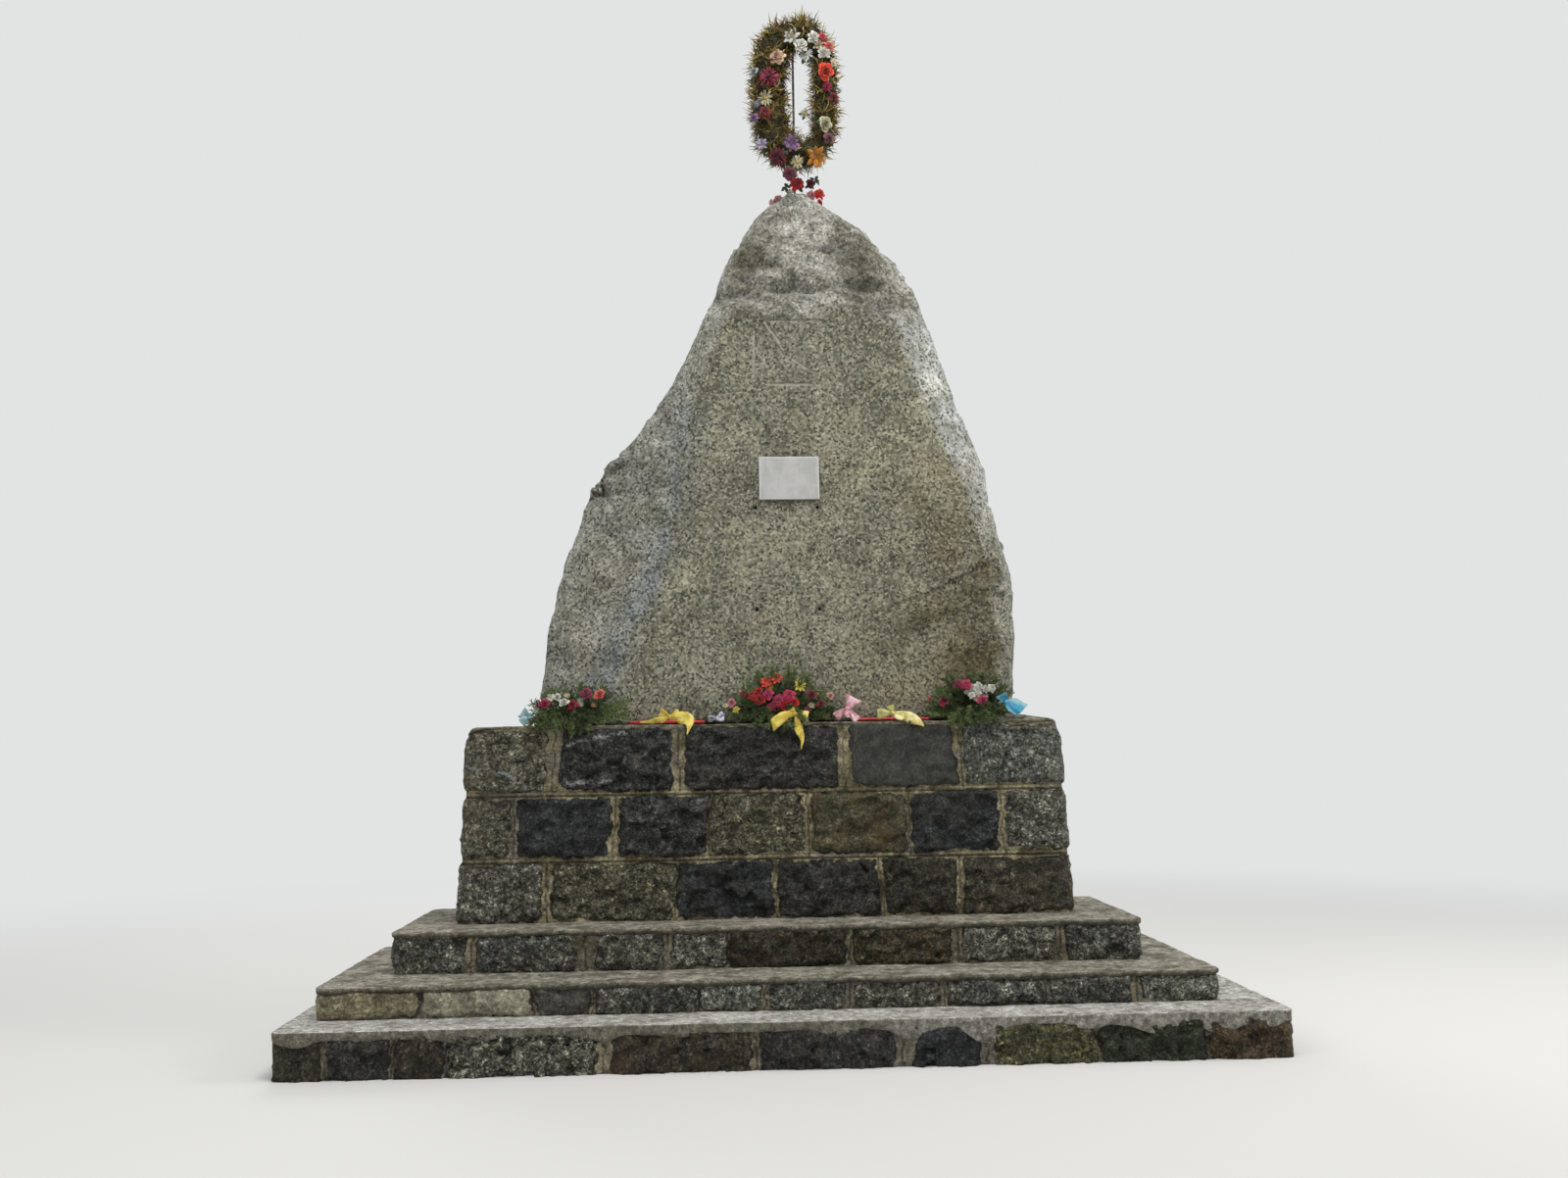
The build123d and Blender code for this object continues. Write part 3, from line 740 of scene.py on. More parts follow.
def screed_finish(name, tones, stain_share, fleck, lip_tones, thin=0.0):
    finish = Finish(name, Specular_IOR_Level=0.3)
    noise, band, spots, mix, shade = finish.tools()
    pale, dark, stain = [srgb(*tone) for tone in tones]
    left_lip, right_lip = [srgb(*tone) for tone in lip_tones]
    across = finish.parts(finish.place)[0]
    lip_tone = mix(band(across, 0.30, 0.80), left_lip, right_lip)
    lip_tone = mix(spots(0.46, 0.58, 0.055, 4, 0.7) * 0.65, lip_tone, srgb(82, 79, 66))
    lip = finish.attribute("lip")
    cloud = noise(0.22, 5, 0.65)
    drawn = finish.vector("MULTIPLY", finish.place, (1.0, 1.3, 2.5))
    stains = spots(0.60 - stain_share, 0.72 - stain_share, 0.13, 5, 0.68, place=drawn)
    sand = noise(0.009, 3, 0.7)
    pits = noise(0.035, 3, 0.7)
    colour = mix(band(cloud, 0.36, 0.64), pale, dark)
    colour = mix(stains * 0.8, colour, stain)
    pocks = spots(0.53, 0.60, 0.055, 5, 0.75) * fleck
    colour = mix(pocks, colour, shade(stain, 0.55))
    colour = mix(spots(0.52, 0.60, 0.11, 5, 0.7, 0.4) * 0.5, colour, shade(pale, 1.3))
    ragged = band(lip + (noise(0.07, 3, 0.6) - 0.5) * 1.3, 0.35, 0.65)
    colour = mix(ragged * 0.9, colour, lip_tone)
    bare = band(lip + (noise(0.13, 4, 0.65) - 0.5) * 2.4, 1.30, 1.60)
    colour = mix(bare * thin, colour, srgb(76, 75, 67))
    seam = 1 - band(abs(noise(0.5, 4, 0.6) - 0.5), 0.001, 0.006)
    colour = shade(colour, 1 - seam * fleck * 0.7)
    colour = shade(colour, 2.0 ** ((sand - 0.5) * 3.0 + (pits - 0.5) * 4.0))
    relief = sand * 0.0030 + pits * 0.022 + cloud * 0.008 - pocks * 0.006
    return finish.done(colour, 0.95, relief, 0.8)


fresh_screed = screed_finish(
    "fresh cement", [(188, 187, 182), (150, 148, 140), (110, 106, 92)], 0.08, 0.30,
    [(100, 97, 84), (134, 132, 123)],
)
old_screed = screed_finish(
    "weathered cement", [(158, 154, 141), (126, 122, 108), (88, 84, 70)], 0.14, 0.55,
    [(118, 113, 98), (118, 113, 98)], 0.85,
)
cap_screed = screed_finish(
    "rough mortar skim", [(142, 137, 123), (110, 105, 91), (72, 68, 55)], 0.16, 0.8,
    [(112, 108, 92), (112, 108, 92)],
)

NOSING = 0.010
TREAD_SPACING = 0.036
# A screed's rows from its foot: the first on the upper edge, on the tread and out of the waves
UPPER_EDGE_ROW = 5
TREAD_ROW = 8
CALM_ROW = 11
# The heap of mortar at the right end of the ledge
HEAP_X = 1.38
HEAP_HEIGHT = 0.036


def screed(node, outline, reach, laps, material, swell=0.003, rounded=False):
    """A screed from its lapping lower edge, over the nosing and in under what stands on it."""
    low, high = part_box(node)
    half_width = outline.half_width - outline.side_lean * (low.z - outline.base)
    edge_x = (high.x - low.x) / 2 - half_width
    columns = len(outline.walk)
    foot = low.z - laps(outline)
    top = high.z
    # Each row: how far in it lies, how high, and how much of the edge's waves it takes
    rows = [(0.045, foot, 0), (0.011, foot, 0.4), (0.0045, foot + 0.005, 0.8)]
    for share in (0.25, 0.5, 0.75, 1.0):
        rows.append((0.003 * (1 - share), foot + 0.005 + (top - NOSING - foot - 0.005) * share, 1))
    for turn in (30, 60, 90):
        angle = math.radians(turn)
        rows.append((NOSING * (1 - math.cos(angle)), top - NOSING * (1 - math.sin(angle)), 1))
    steps = math.ceil((reach - NOSING) / TREAD_SPACING)
    for step in range(1, steps + 1):
        rows.append((NOSING + (reach - NOSING) * step / steps, top, 1))
    rows.append((reach, low.z, 0))
    rings = []
    for inset, z, _ in rows:
        ring = outline.ring(top, inset - edge_x)
        ring[:, 2] = z
        rings.append(ring)
    flat = np.vstack(rings)
    number = np.repeat(np.arange(len(rows)), columns)
    strength = np.repeat([row[2] for row in rows], columns)
    wave = 0.005 * lumps(flat, 0.14, 61) + 0.004 * lumps(flat, 0.045, 62)
    chips = -0.010 * smooth(lumps(flat * (1, 1, 0.3), 0.11, 63), 0.42, 0.75)
    side = (wave + chips) * strength * (number < CALM_ROW)
    flat[:, :2] += np.tile(outline.normal, (len(rows), 1)) * side[:, None]
    lift = swell * lumps(flat, 0.30, 64) + 0.4 * swell * lumps(flat, 0.07, 65)
    lift = lift + 0.3 * swell * lumps(flat, 0.022, 66) - 0.002
    if rounded:
        heap = peak(flat[:, 0] - HEAP_X, 0.20) * smooth(flat[:, 1], 0.12, 0.20)
        lift = lift + HEAP_HEIGHT * heap
        flat[:, 2] -= outline.corner_drop(flat)
    flat[:, 2] += np.where((number >= TREAD_ROW) & (number < len(rows) - 1), lift, 0)
    mesh = closed_grid(node + "_cement", flat.reshape(len(rows), columns, 3))
    # 2 low on the edge, where the stones show through, 1 high on it and 0 on the tread
    lip = np.select([number < UPPER_EDGE_ROW, number < TREAD_ROW], [2.0, 1.0], 0.0)
    set_attribute(mesh, "lip", lip)
    return add_piece(node + "_cement", mesh, node, material)


def plain_laps(depth, seed):
    """A lower edge that laps unevenly over the stones."""

    def laps(outline):
        ring = outline.ring(outline.base)
        wave = lumps(ring, 0.22, seed) + 0.6 * lumps(ring, 0.06, seed + 1)
        return depth * (0.6 + 0.9 * wave)

    return laps


# Drips of the fresh screed over the lowest stones: x, half width, depth
APRON_LOBES = [
    (-2.45, 0.10, 0.030), (-1.62, 0.16, 0.028), (-0.92, 0.10, 0.038), (-0.55, 0.12, 0.018),
    (0.20, 0.14, 0.034), (0.62, 0.13, 0.062), (0.98, 0.13, 0.078), (1.10, 0.10, 0.052),
    (1.52, 0.10, 0.030), (1.86, 0.14, 0.058), (2.20, 0.13, 0.072), (2.44, 0.10, 0.048),
]


def apron_laps(outline):
    ring = outline.ring(outline.base)
    wave = lumps(ring, 0.16, 71) + 0.5 * lumps(ring, 0.05, 72)
    front = sum(
        depth * np.exp(-(((ring[:, 0] - x) / half_width) ** 2) * 1.6)
        for x, half_width, depth in APRON_LOBES
    )
    back = 0.05 * smooth(roughness_of(ring, 0.55, 2, 73), 0.1, 0.7)
    return 0.012 + 0.012 * wave + np.where(outline.normal[:, 1] < -0.5, front, back)


def build_screeds(ground, middle, upper, plinth):
    screed("ground_step_screed", ground, 0.36, apron_laps, fresh_screed)
    screed("middle_step_screed", middle, 0.45, plain_laps(0.010, 81), old_screed)
    screed("upper_step_screed", upper, 0.41, plain_laps(0.012, 83), old_screed)
    laps = plain_laps(0.014, 85)
    screed("plinth_cap_mortar", plinth, 0.395, laps, cap_screed, 0.004, True)


# The boulder. Its marks are placed on the split face, as x and z

BOULDER_VOXEL = 0.0164
FACE_START = (0.2345, 1.750)
FACE_LEAN = 0.058
FIXING_CENTRE = (0.082, 2.740)
FIXING_SPACING = (0.378, 0.624)
FIXING_RADIUS = 0.009
DRILL_DEPTH = 0.13
BORE_MARGIN = 0.0005
ROD_BORE = 0.008
CRACKS = [
    [(1.36, 2.735), (1.19, 2.648), (1.007, 2.559), (0.827, 2.489), (0.617, 2.426), (0.527, 2.362)],
    [(0.179, 2.688), (0.059, 2.618), (-0.072, 2.559)],
    [(0.421, 3.367), (0.341, 3.319), (0.298, 3.27)],
    [(-1.12, 2.93), (-0.96, 2.90), (-0.86, 2.86), (-0.78, 2.80)],
]
FOLD = [
    (-0.470, 3.950), (-0.470, 3.571), (-0.527, 3.045), (-0.589, 2.684), (-0.883, 2.097), (-0.998, 1.750),
]
BLUE_BAND = [
    (-0.494, 3.620), (-0.560, 3.100), (-0.647, 2.800), (-0.765, 2.567), (-0.883, 2.331), (-1.056, 1.983),
]
# Lines of painted highlight: a band on the left of the face, and a diagonal right of the plaque where the
# face also falls back
PALE_HIGHLIGHT_BAND = [(-0.40, 3.00), (-0.46, 2.70), (-0.60, 2.48), (-0.66, 2.25)]
# The ridge's crest, which gets a painted highlight
RIDGE_HIGHLIGHT = [(0.80, 4.27), (0.909, 3.87), (1.06, 3.51), (1.13, 3.39), (1.245, 3.10)]
RIGHT_LIGHT = [(1.06, 3.86), (0.83, 3.587), (0.644, 3.36), (0.50, 3.16)]
DARK_BAND = [(1.40, 2.62), (1.10, 2.45), (0.80, 2.30), (0.52, 2.16)]
CROSS = [
    [(-0.040, 4.239), (0.326, 4.237)],
    [(-0.100, 4.165), (-0.106, 3.880)],
    [(-0.028, 3.829), (0.255, 3.828)],
    [(-0.040, 4.239), (0.010, 4.165), (0.070, 4.085)],
    [(0.349, 4.210), (0.225, 4.110), (0.139, 4.050)],
    [(0.138, 3.990), (0.200, 3.945), (0.268, 3.905)],
    [(0.060, 3.985), (0.000, 3.930), (-0.070, 3.885)],
]
WORN_LINES = (0, 4, 6)
# Ovals as x, z, half width and half height, with a depth or a strength
HOLLOWS = [
    (0.105, 4.452, 0.13, 0.050, 0.075), (0.535, 4.450, 0.15, 0.055, 0.070),
    (-0.140, 4.385, 0.11, 0.040, 0.035), (-0.110, 4.600, 0.09, 0.070, 0.035),
    (0.700, 4.330, 0.10, 0.060, 0.030), (0.450, 4.690, 0.10, 0.060, 0.025),
    (-0.230, 4.400, 0.10, 0.045, 0.030), (-1.120, 3.200, 0.09, 0.080, 0.050),
    (-0.960, 3.330, 0.10, 0.045, 0.035), (-0.700, 3.230, 0.10, 0.070, 0.015),
]
BROWN_PATCHES = [
    (1.02, 3.14, 0.24, 0.24, 0.8), (1.10, 2.86, 0.24, 0.24, 0.9), (1.28, 2.70, 0.14, 0.20, 0.8),
    (1.32, 2.20, 0.14, 0.36, 0.8), (0.82, 2.42, 0.32, 0.08, 0.8), (1.16, 2.10, 0.32, 0.30, 0.9),
    (0.86, 2.00, 0.50, 0.30, 0.6), (-0.98, 2.62, 0.18, 0.26, 0.5), (-1.18, 2.20, 0.12, 0.30, 0.5),
]
# Dark ovals: painted shade in the gaps of the broken left shoulder and on the top beside its hollows, and
# darker rock round the lowest right hole and low on the right
DARK_PATCHES = [
    (-0.17, 4.60, 0.17, 0.32, 1.00), (1.18, 2.15, 0.30, 0.28, 1.00),
    (0.28, 2.425, 0.045, 0.035, 0.80), (0.63, 4.66, 0.18, 0.24, 0.90),
    (-0.20, 4.36, 0.12, 0.08, 0.45), (-1.12, 3.28, 0.10, 0.10, 0.55), (-0.92, 3.42, 0.14, 0.05, 0.40),
]


def line_distance(flat, line):
    """How far points of the face lie from a line of several runs."""
    away = np.full(len(flat), 9.0)
    for start, end in zip(np.array(line[:-1]), np.array(line[1:])):
        run = end - start
        share = np.clip((flat - start) @ run / (run @ run), 0, 1)
        away = np.minimum(away, np.linalg.norm(flat - (start + share[:, None] * run), axis=1))
    return away


def nearest(flat, lines):
    return np.minimum.reduce([line_distance(flat, line) for line in lines])


def spot(flat, x, z, half_width, half_height, strength=1.0):
    """The strength in the middle of an oval patch, fading to 0 outside it."""
    away = ((flat[:, 0] - x) / half_width) ** 2 + ((flat[:, 1] - z) / half_height) ** 2
    return strength * np.exp(-away)


def face_y(z):
    """How far back the plane of the split face lies at a height."""
    return FACE_START[0] + FACE_LEAN * (z - FACE_START[1])


def fixing_places():
    for side, level in itertools.product((-0.5, 0.5), repeat=2):
        yield FIXING_CENTRE[0] + side * FIXING_SPACING[0], FIXING_CENTRE[1] + level * FIXING_SPACING[1]


def fill_bores(shape):
    """Takes out the drilled holes and the rod's socket, so that the rock is one skin."""
    low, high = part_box("wreath_rod")
    rod_x = (low.x + high.x) / 2
    rod_y = high.y - (high.x - low.x) / 2
    doomed = []
    for face in shape.faces:
        corners = [corner.co for corner in face.verts]
        bored = all(math.hypot(p.x - rod_x, p.y - rod_y) < ROD_BORE + BORE_MARGIN for p in corners)
        for x, z in fixing_places():
            near = [math.hypot(p.x - x, p.z - z) < FIXING_RADIUS + BORE_MARGIN for p in corners]
            bored = bored or all(near)
        if bored:
            doomed.append(face)
    bmesh.ops.delete(shape, geom=doomed, context="FACES")
    rims = [edge for edge in shape.edges if edge.is_boundary]
    bmesh.ops.holes_fill(shape, edges=rims, sides=0)


def evaluated_mesh(piece, name):
    graph = bpy.context.evaluated_depsgraph_get()
    mesh = bpy.data.meshes.new_from_object(piece.evaluated_get(graph))
    mesh.name = name
    return mesh


def points_of(mesh, field="co"):
    """The points of a mesh, or their normals."""
    values = np.empty(len(mesh.vertices) * 3, dtype=np.float32)
    mesh.vertices.foreach_get(field, values)
    return values.reshape(-1, 3).astype(float)


def rough_block():
    """The boulder's solid as an even skin with its ridges worn."""
    shape = bmesh.new()
    shape.from_mesh(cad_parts["boulder"].data)
    bmesh.ops.remove_doubles(shape, verts=shape.verts, dist=1e-5)
    fill_bores(shape)
    mesh = bpy.data.meshes.new("block")
    shape.to_mesh(mesh)
    shape.free()
    block = placed("block", mesh)
    remesh = block.modifiers.new("even", "REMESH")
    remesh.mode = "VOXEL"
    remesh.voxel_size = BOULDER_VOXEL
    wear = block.modifiers.new("worn", "SMOOTH")
    wear.factor = 0.5
    wear.iterations = 9
    skin = evaluated_mesh(block, "boulder_rock")
    bpy.data.objects.remove(block)
    return skin


def near_detail(points):
    flat = points[:, [0, 2]]
    marked = (nearest(flat, CROSS) < 0.034) | (nearest(flat, CRACKS) < 0.030)
    return marked & (points[:, 1] - face_y(points[:, 2]) < 0.16)


def refine(mesh, times):
    """Splits the faces near the carving and the cracks."""
    shape = bmesh.new()
    shape.from_mesh(mesh)
    for _ in range(times):
        shape.verts.ensure_lookup_table()
        near = near_detail(np.array([vertex.co for vertex in shape.verts]))
        edges = [edge for edge in shape.edges if all(near[end.index] for end in edge.verts)]
        bmesh.ops.subdivide_edges(shape, edges=edges, cuts=1, use_grid_fill=True)
        shape.verts.index_update()
    shape.to_mesh(mesh)
    shape.free()


def build_boulder(material):
    mesh = rough_block()
    refine(mesh, 2)
    points = points_of(mesh)
    normals = points_of(mesh, "normal")
    flat = points[:, [0, 2]]
    x, _, z = points.T
    forward = smooth(-normals[:, 1], 0.45, 0.8)
    front = smooth(-normals[:, 1], 0.90, 0.985) * smooth(face_y(z) - points[:, 1], -0.05, -0.012)
    top = smooth(z + 0.10 * lumps(points, 0.35, 5), 4.20, 4.36)
    # Natural sides, and a flat face with a soft swell
    uneven = bent(points, 0.20, 90)
    wild = 0.016 * lumps(points, 0.62, 91) + 0.010 * roughness_of(points, 0.24, 3, 92)
    wild = wild + 0.0025 * roughness_of(points, 0.045, 2, 96) + 0.06 * facets(uneven, 0.21, 93)
    calm = 0.006 * lumps(points, 0.55, 97) + 0.0022 * roughness_of(points, 0.06, 3, 98)
    out = wild * (1 - front) + calm * front
    # The broken top
    strata = np.abs(roughness_of(points * (1.0, 1.0, 2.1), 0.26, 3, 101))
    broken = 0.016 - 0.034 * strata + 0.13 * facets(uneven * (1, 1, 1.7), 0.17, 102)
    broken = broken + 0.10 * facets(uneven, 0.06, 106)
    out = out + top * (broken * (0.35 + 0.65 * front))
    # The left side is broken off in long steps, with a groove along the fold
    left = 1 - smooth(x - np.interp(z, *np.array(FOLD)[::-1, ::-1].T), -0.10, 0.03)
    left = left * smooth(-normals[:, 1], 0.25, 0.55) * (1 - top)
    slant = flat @ np.array([0.80, 0.60])
    along = flat @ np.array([-0.60, 0.80])
    combed = np.column_stack([slant, 0.22 * along, points[:, 1] * 0.4])
    out = out + left * (0.014 * lumps(combed, 0.12, 111) + 0.008 * lumps(combed, 0.05, 112))
    shoulder = spot(flat, -1.05, 3.36, 0.26, 0.24) * (1 - front)
    out = out + shoulder * (0.36 * facets(uneven * (1, 1, 1.7), 0.15, 113) - 0.008)
    out = out - 0.008 * forward * peak(line_distance(flat, FOLD), 0.05)
    # The right of the face falls back beyond a slanting line, and below the long crack
    beyond = (flat - np.array(RIGHT_LIGHT[1])) @ np.array([0.70, -0.71])
    out = out - forward * 0.016 * smooth(beyond, -0.02, 0.30) * smooth(z, 2.75, 3.10)
    below = np.interp(x, *np.array(CRACKS[0])[::-1].T) - z
    right = smooth(x, 0.42, 0.90)
    under = smooth(below, -0.004, 0.014) * np.exp(-np.maximum(below, 0) / 0.20)
    out = out - forward * right * 0.020 * under
    rough = points + normals * out[:, None]
    # Hollows, cracks and the carved cross are cut straight back
    strayed = flat + 0.03 * lumps(rough, 0.09, 121)[:, None]
    cut = sum(deep * spot(strayed, *oval) for *oval, deep in HOLLOWS)
    # hollow_shade marks the hollows, and a ring round each drilled hole, for the finish to darken
    hollow_shade = np.maximum.reduce([spot(strayed, *oval) for *oval, _ in HOLLOWS])
    crack = nearest(flat, CRACKS) + 0.004 * lumps(rough, 0.05, 122)
    fading = smooth(lumps(rough, 0.13, 123), -0.25, 0.30)
    cracked = (1 - smooth(crack, 0.002, 0.009)) * fading * (0.3 + 0.7 * smooth(x, 0.75, 1.05))
    carved = 1 - smooth(nearest(flat, CROSS) + 0.003 * lumps(rough, 0.03, 124), 0.004, 0.012)
    cut = cut + 0.008 * cracked + 0.007 * carved
    for hole_x, hole_z in fixing_places():
        away = np.hypot(x - hole_x, z - hole_z)
        cut += 0.003 * (1 - smooth(away, 0.010, 0.026))
        hollow_shade = np.maximum(hollow_shade, 2.0 * (1 - smooth(away, 0.012, 0.030)))
    rough[:, 1] += cut * forward
    rough[:, 2] = np.maximum(rough[:, 2], FACE_START[1] - 0.006)
    mesh.vertices.foreach_set("co", rough.astype(np.float32).ravel())
    mesh.shade_smooth()
    blue = np.maximum(peak(line_distance(flat, BLUE_BAND), 0.095), spot(flat, 0.12, 4.04, 0.20, 0.17, 0.4))
    brown = np.maximum.reduce([spot(flat, *patch) for patch in BROWN_PATCHES])
    dark = [peak(line_distance(flat, DARK_BAND), 0.11) * right]
    dark = np.maximum.reduce(dark + [spot(flat, *patch) for patch in DARK_PATCHES])
    # pale: painted highlights along the diagonal right of the plaque and the band on the left
    pale = peak(line_distance(flat, RIGHT_LIGHT), 0.08) + 0.6 * peak(line_distance(flat, PALE_HIGHLIGHT_BAND), 0.05)
    set_attribute(mesh, "tints_and_painted_light", np.column_stack([blue, brown, dark, pale]) * forward[:, None])
    shown_lines = smooth(nearest(flat, [CROSS[number] for number in WORN_LINES]), 0.012, 0.020)
    pale_cut = carved * (0.2 + 0.8 * shown_lines)
    cuts = np.column_stack([pale_cut * forward, cracked * forward, hollow_shade * forward, top])
    set_attribute(mesh, "cuts", cuts)
    # The sides: the split face, the left facet, and painted light on the right-facing side and along the
    # ridge's crest
    right_side_light = smooth(normals[:, 0], 0.30, 0.62) * smooth(rough[:, 2], 2.75, 3.35) * (1 - top)
    crest_highlight = peak(line_distance(flat, RIDGE_HIGHLIGHT), 0.045) * forward
    sides = np.column_stack([front, left, np.maximum(right_side_light * 0.95, crest_highlight)])
    set_attribute(mesh, "sides", sides)
    drill_fixings(add_piece("boulder_rock", mesh, "boulder", material))


def drill_fixings(piece):
    """Cuts the four drilled holes back into the rock."""
    drills = bmesh.new()
    for x, z in fixing_places():
        turn = Matrix.Translation((x, face_y(z) + 0.02, z)) @ Matrix.Rotation(math.radians(90), 4, "X")
        bmesh.ops.create_cone(
            drills, cap_ends=True, segments=18, radius1=FIXING_RADIUS * 0.9,
            radius2=FIXING_RADIUS * 1.25, depth=DRILL_DEPTH, matrix=turn,
        )
    mesh = bpy.data.meshes.new("drills")
    drills.to_mesh(mesh)
    drills.free()
    cutter = placed("drills", mesh)
    bore = piece.modifiers.new("bore", "BOOLEAN")
    bore.operation = "DIFFERENCE"
    bore.object = cutter
    bore.solver = "MANIFOLD"
    drilled = evaluated_mesh(piece, "boulder_rock")
    piece.modifiers.remove(bore)
    bpy.data.objects.remove(cutter)
    piece.data = drilled


def boulder_finish():
    finish = Finish("split granite", Specular_IOR_Level=0.35)
    noise, band, spots, mix, shade = finish.tools()
    blue, brown, dark = finish.parts(finish.attribute("tints_and_painted_light", "Color"))
    pale = finish.attribute("tints_and_painted_light", "Alpha")
    carved, cracked, hollow_shade = finish.parts(finish.attribute("cuts", "Color"))
    top = finish.attribute("cuts", "Alpha")
    front, left, bright = finish.parts(finish.attribute("sides", "Vector"))
    patch = noise(0.16, 4, 0.62)
    face = mix(spots(0.38, 0.62, 0.55, 4, 0.6), srgb(135, 133, 114), srgb(108, 107, 91))
    skin = mix(band(patch, 0.36, 0.64), srgb(150, 150, 139), srgb(122, 123, 112))
    colour = mix(front, skin, face)
    weathered = mix(band(patch, 0.34, 0.66), srgb(178, 177, 170), srgb(117, 116, 104))
    colour = mix(top * 0.85, colour, weathered)
    # Painted light: the right-facing side and the ridge's crest are brightened and turned bluish
    lit = bright * (0.5 + spots(0.36, 0.64, 0.10, 4, 0.65) * 0.5)
    colour = finish.tinted(lit, colour, (1.88, 1.94, 2.26))
    grain = noise(0.030, 3, 0.7)
    speckle = noise(0.0125, 3, 0.75)
    pick, shine = finish.cells(0.0125)
    light = (speckle - 0.5) * 2.4 + (grain - 0.5) * 1.6 + (pick - 0.5) * 2.1
    light = light * (0.70 - top * 0.06) * (1 - bright * 0.35) + (noise(0.075, 3, 0.6) - 0.5) * 1.2
    colour = shade(colour, 2.0 ** light * (0.945 + top * 0.045))
    flecks = 1 - band(shine, 0.13, 0.16)
    colour = mix(flecks * (0.80 - top * 0.25), colour, srgb(52, 50, 43))
    colour = mix(band(shine, 0.86, 0.89) * 0.50, colour, srgb(184, 180, 164))
    colour = finish.tinted(left * 0.4, colour, (1.00, 1.02, 1.09))
    uneven = spots(0.36, 0.60, 0.12, 4, 0.65)
    colour = finish.tinted(blue * (0.45 + uneven * 0.55), colour, (0.78, 0.84, 0.99))
    rusty = spots(0.40, 0.62, 0.20, 3, 0.6)
    colour = finish.tinted(brown * (0.35 + rusty * 0.65), colour, (0.91, 0.80, 0.65))
    drawn = finish.vector("MULTIPLY", finish.place, (1.0, 1.0, 2.4))
    streak = spots(0.34, 0.60, 0.18, 4, 0.6, place=drawn)
    # Darker streaked patches, partly painted shade at the broken left shoulder and on the top
    colour = finish.tinted(dark * (0.35 + streak * 0.65), colour, (0.45, 0.43, 0.35))
    # Painted highlights along the pale lines
    colour = finish.tinted(pale * spots(0.38, 0.58, 0.07, 3, 0.65), colour, (1.50, 1.46, 1.40))
    worn = spots(0.34, 0.54, 0.05, 3, 0.6)
    colour = mix(carved * (0.30 + worn * 0.45), colour, srgb(172, 170, 157))
    colour = shade(colour, 1 - cracked * (0.04 + worn * 0.30))
    # Painted shade in the hollows, and a darker ring round each drilled hole
    colour = shade(colour, 1 - hollow_shade * 0.36)
    moss = spots(0.55, 0.72, 0.26, 5, 0.65) * (1 - front * 0.75) * (1 - top * 0.6)
    colour = finish.tinted(moss * 0.7, colour, (0.56, 0.57, 0.42))
    rain = finish.vector("MULTIPLY", finish.place, (4.0, 4.0, 0.5))
    colour = mix(spots(0.54, 0.72, 0.35, 4, 0.6, place=rain) * 0.22, colour, srgb(78, 77, 66))
    relief = speckle * 0.005 + grain * 0.006 + pick * 0.0012 - flecks * 0.0018
    return finish.done(colour, 0.86 + speckle * 0.1, relief)


def plaque_finish():
    finish = Finish("pale plaque stone", Specular_IOR_Level=0.45)
    noise, band, spots, mix, shade = finish.tools()
    cloud = noise(0.09, 4, 0.6)
    grain = noise(0.004, 2, 0.6)
    colour = mix(band(cloud, 0.36, 0.64), srgb(184, 184, 183), srgb(170, 170, 168))
    low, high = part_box("plaque")
    x, _, z = finish.parts(finish.place)
    middle = (low + high) / 2
    inner_x = (high.x - low.x) / 2 - abs(x - middle.x)
    inner_z = (high.z - low.z) / 2 - abs(z - middle.z)
    rim = 1 - band(finish.maths("MINIMUM", inner_x, inner_z), 0.005, 0.012)
    colour = mix(rim * 0.7, colour, srgb(206, 206, 204))
    rain = finish.vector("MULTIPLY", finish.place, (5.0, 5.0, 0.7))
    runs = spots(0.52, 0.75, 0.12, 3, 0.6, place=rain)
    colour = shade(mix(runs * 0.30, colour, srgb(132, 130, 120)), 0.93 + grain * 0.14)
    return finish.done(colour, 0.42 + cloud * 0.2, grain * 0.0006, 0.5)


def bedding_finish():
    finish = Finish("plaque mortar", Specular_IOR_Level=0.2)
    sand = finish.noise(0.006, 3, 0.7)
    colour = finish.mix(sand, srgb(84, 80, 68), srgb(120, 114, 98))
    return finish.done(colour, 0.95, sand * 0.002)


def rod_finish():
    finish = Finish("weathered iron", Metallic=0.55)
    rust = finish.spots(0.42, 0.62, 0.03, 4, 0.65)
    colour = finish.mix(rust, srgb(118, 118, 116), srgb(92, 70, 54))
    return finish.done(colour, 0.45 + rust * 0.4, finish.noise(0.004, 2, 0.6) * 0.0006)


def dress_solids():
    """The bare plaque, its bedding and the rod keep their solids and get their finishes."""
    finishes = {"plaque": plaque_finish(), "plaque_bedding": bedding_finish(), "wreath_rod": rod_finish()}
    for node, material in finishes.items():
        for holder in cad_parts[node].material_slots:
            holder.material = material


# Patterns that repeat: needles on twigs, straw on the wreath, petals round a flower's axis

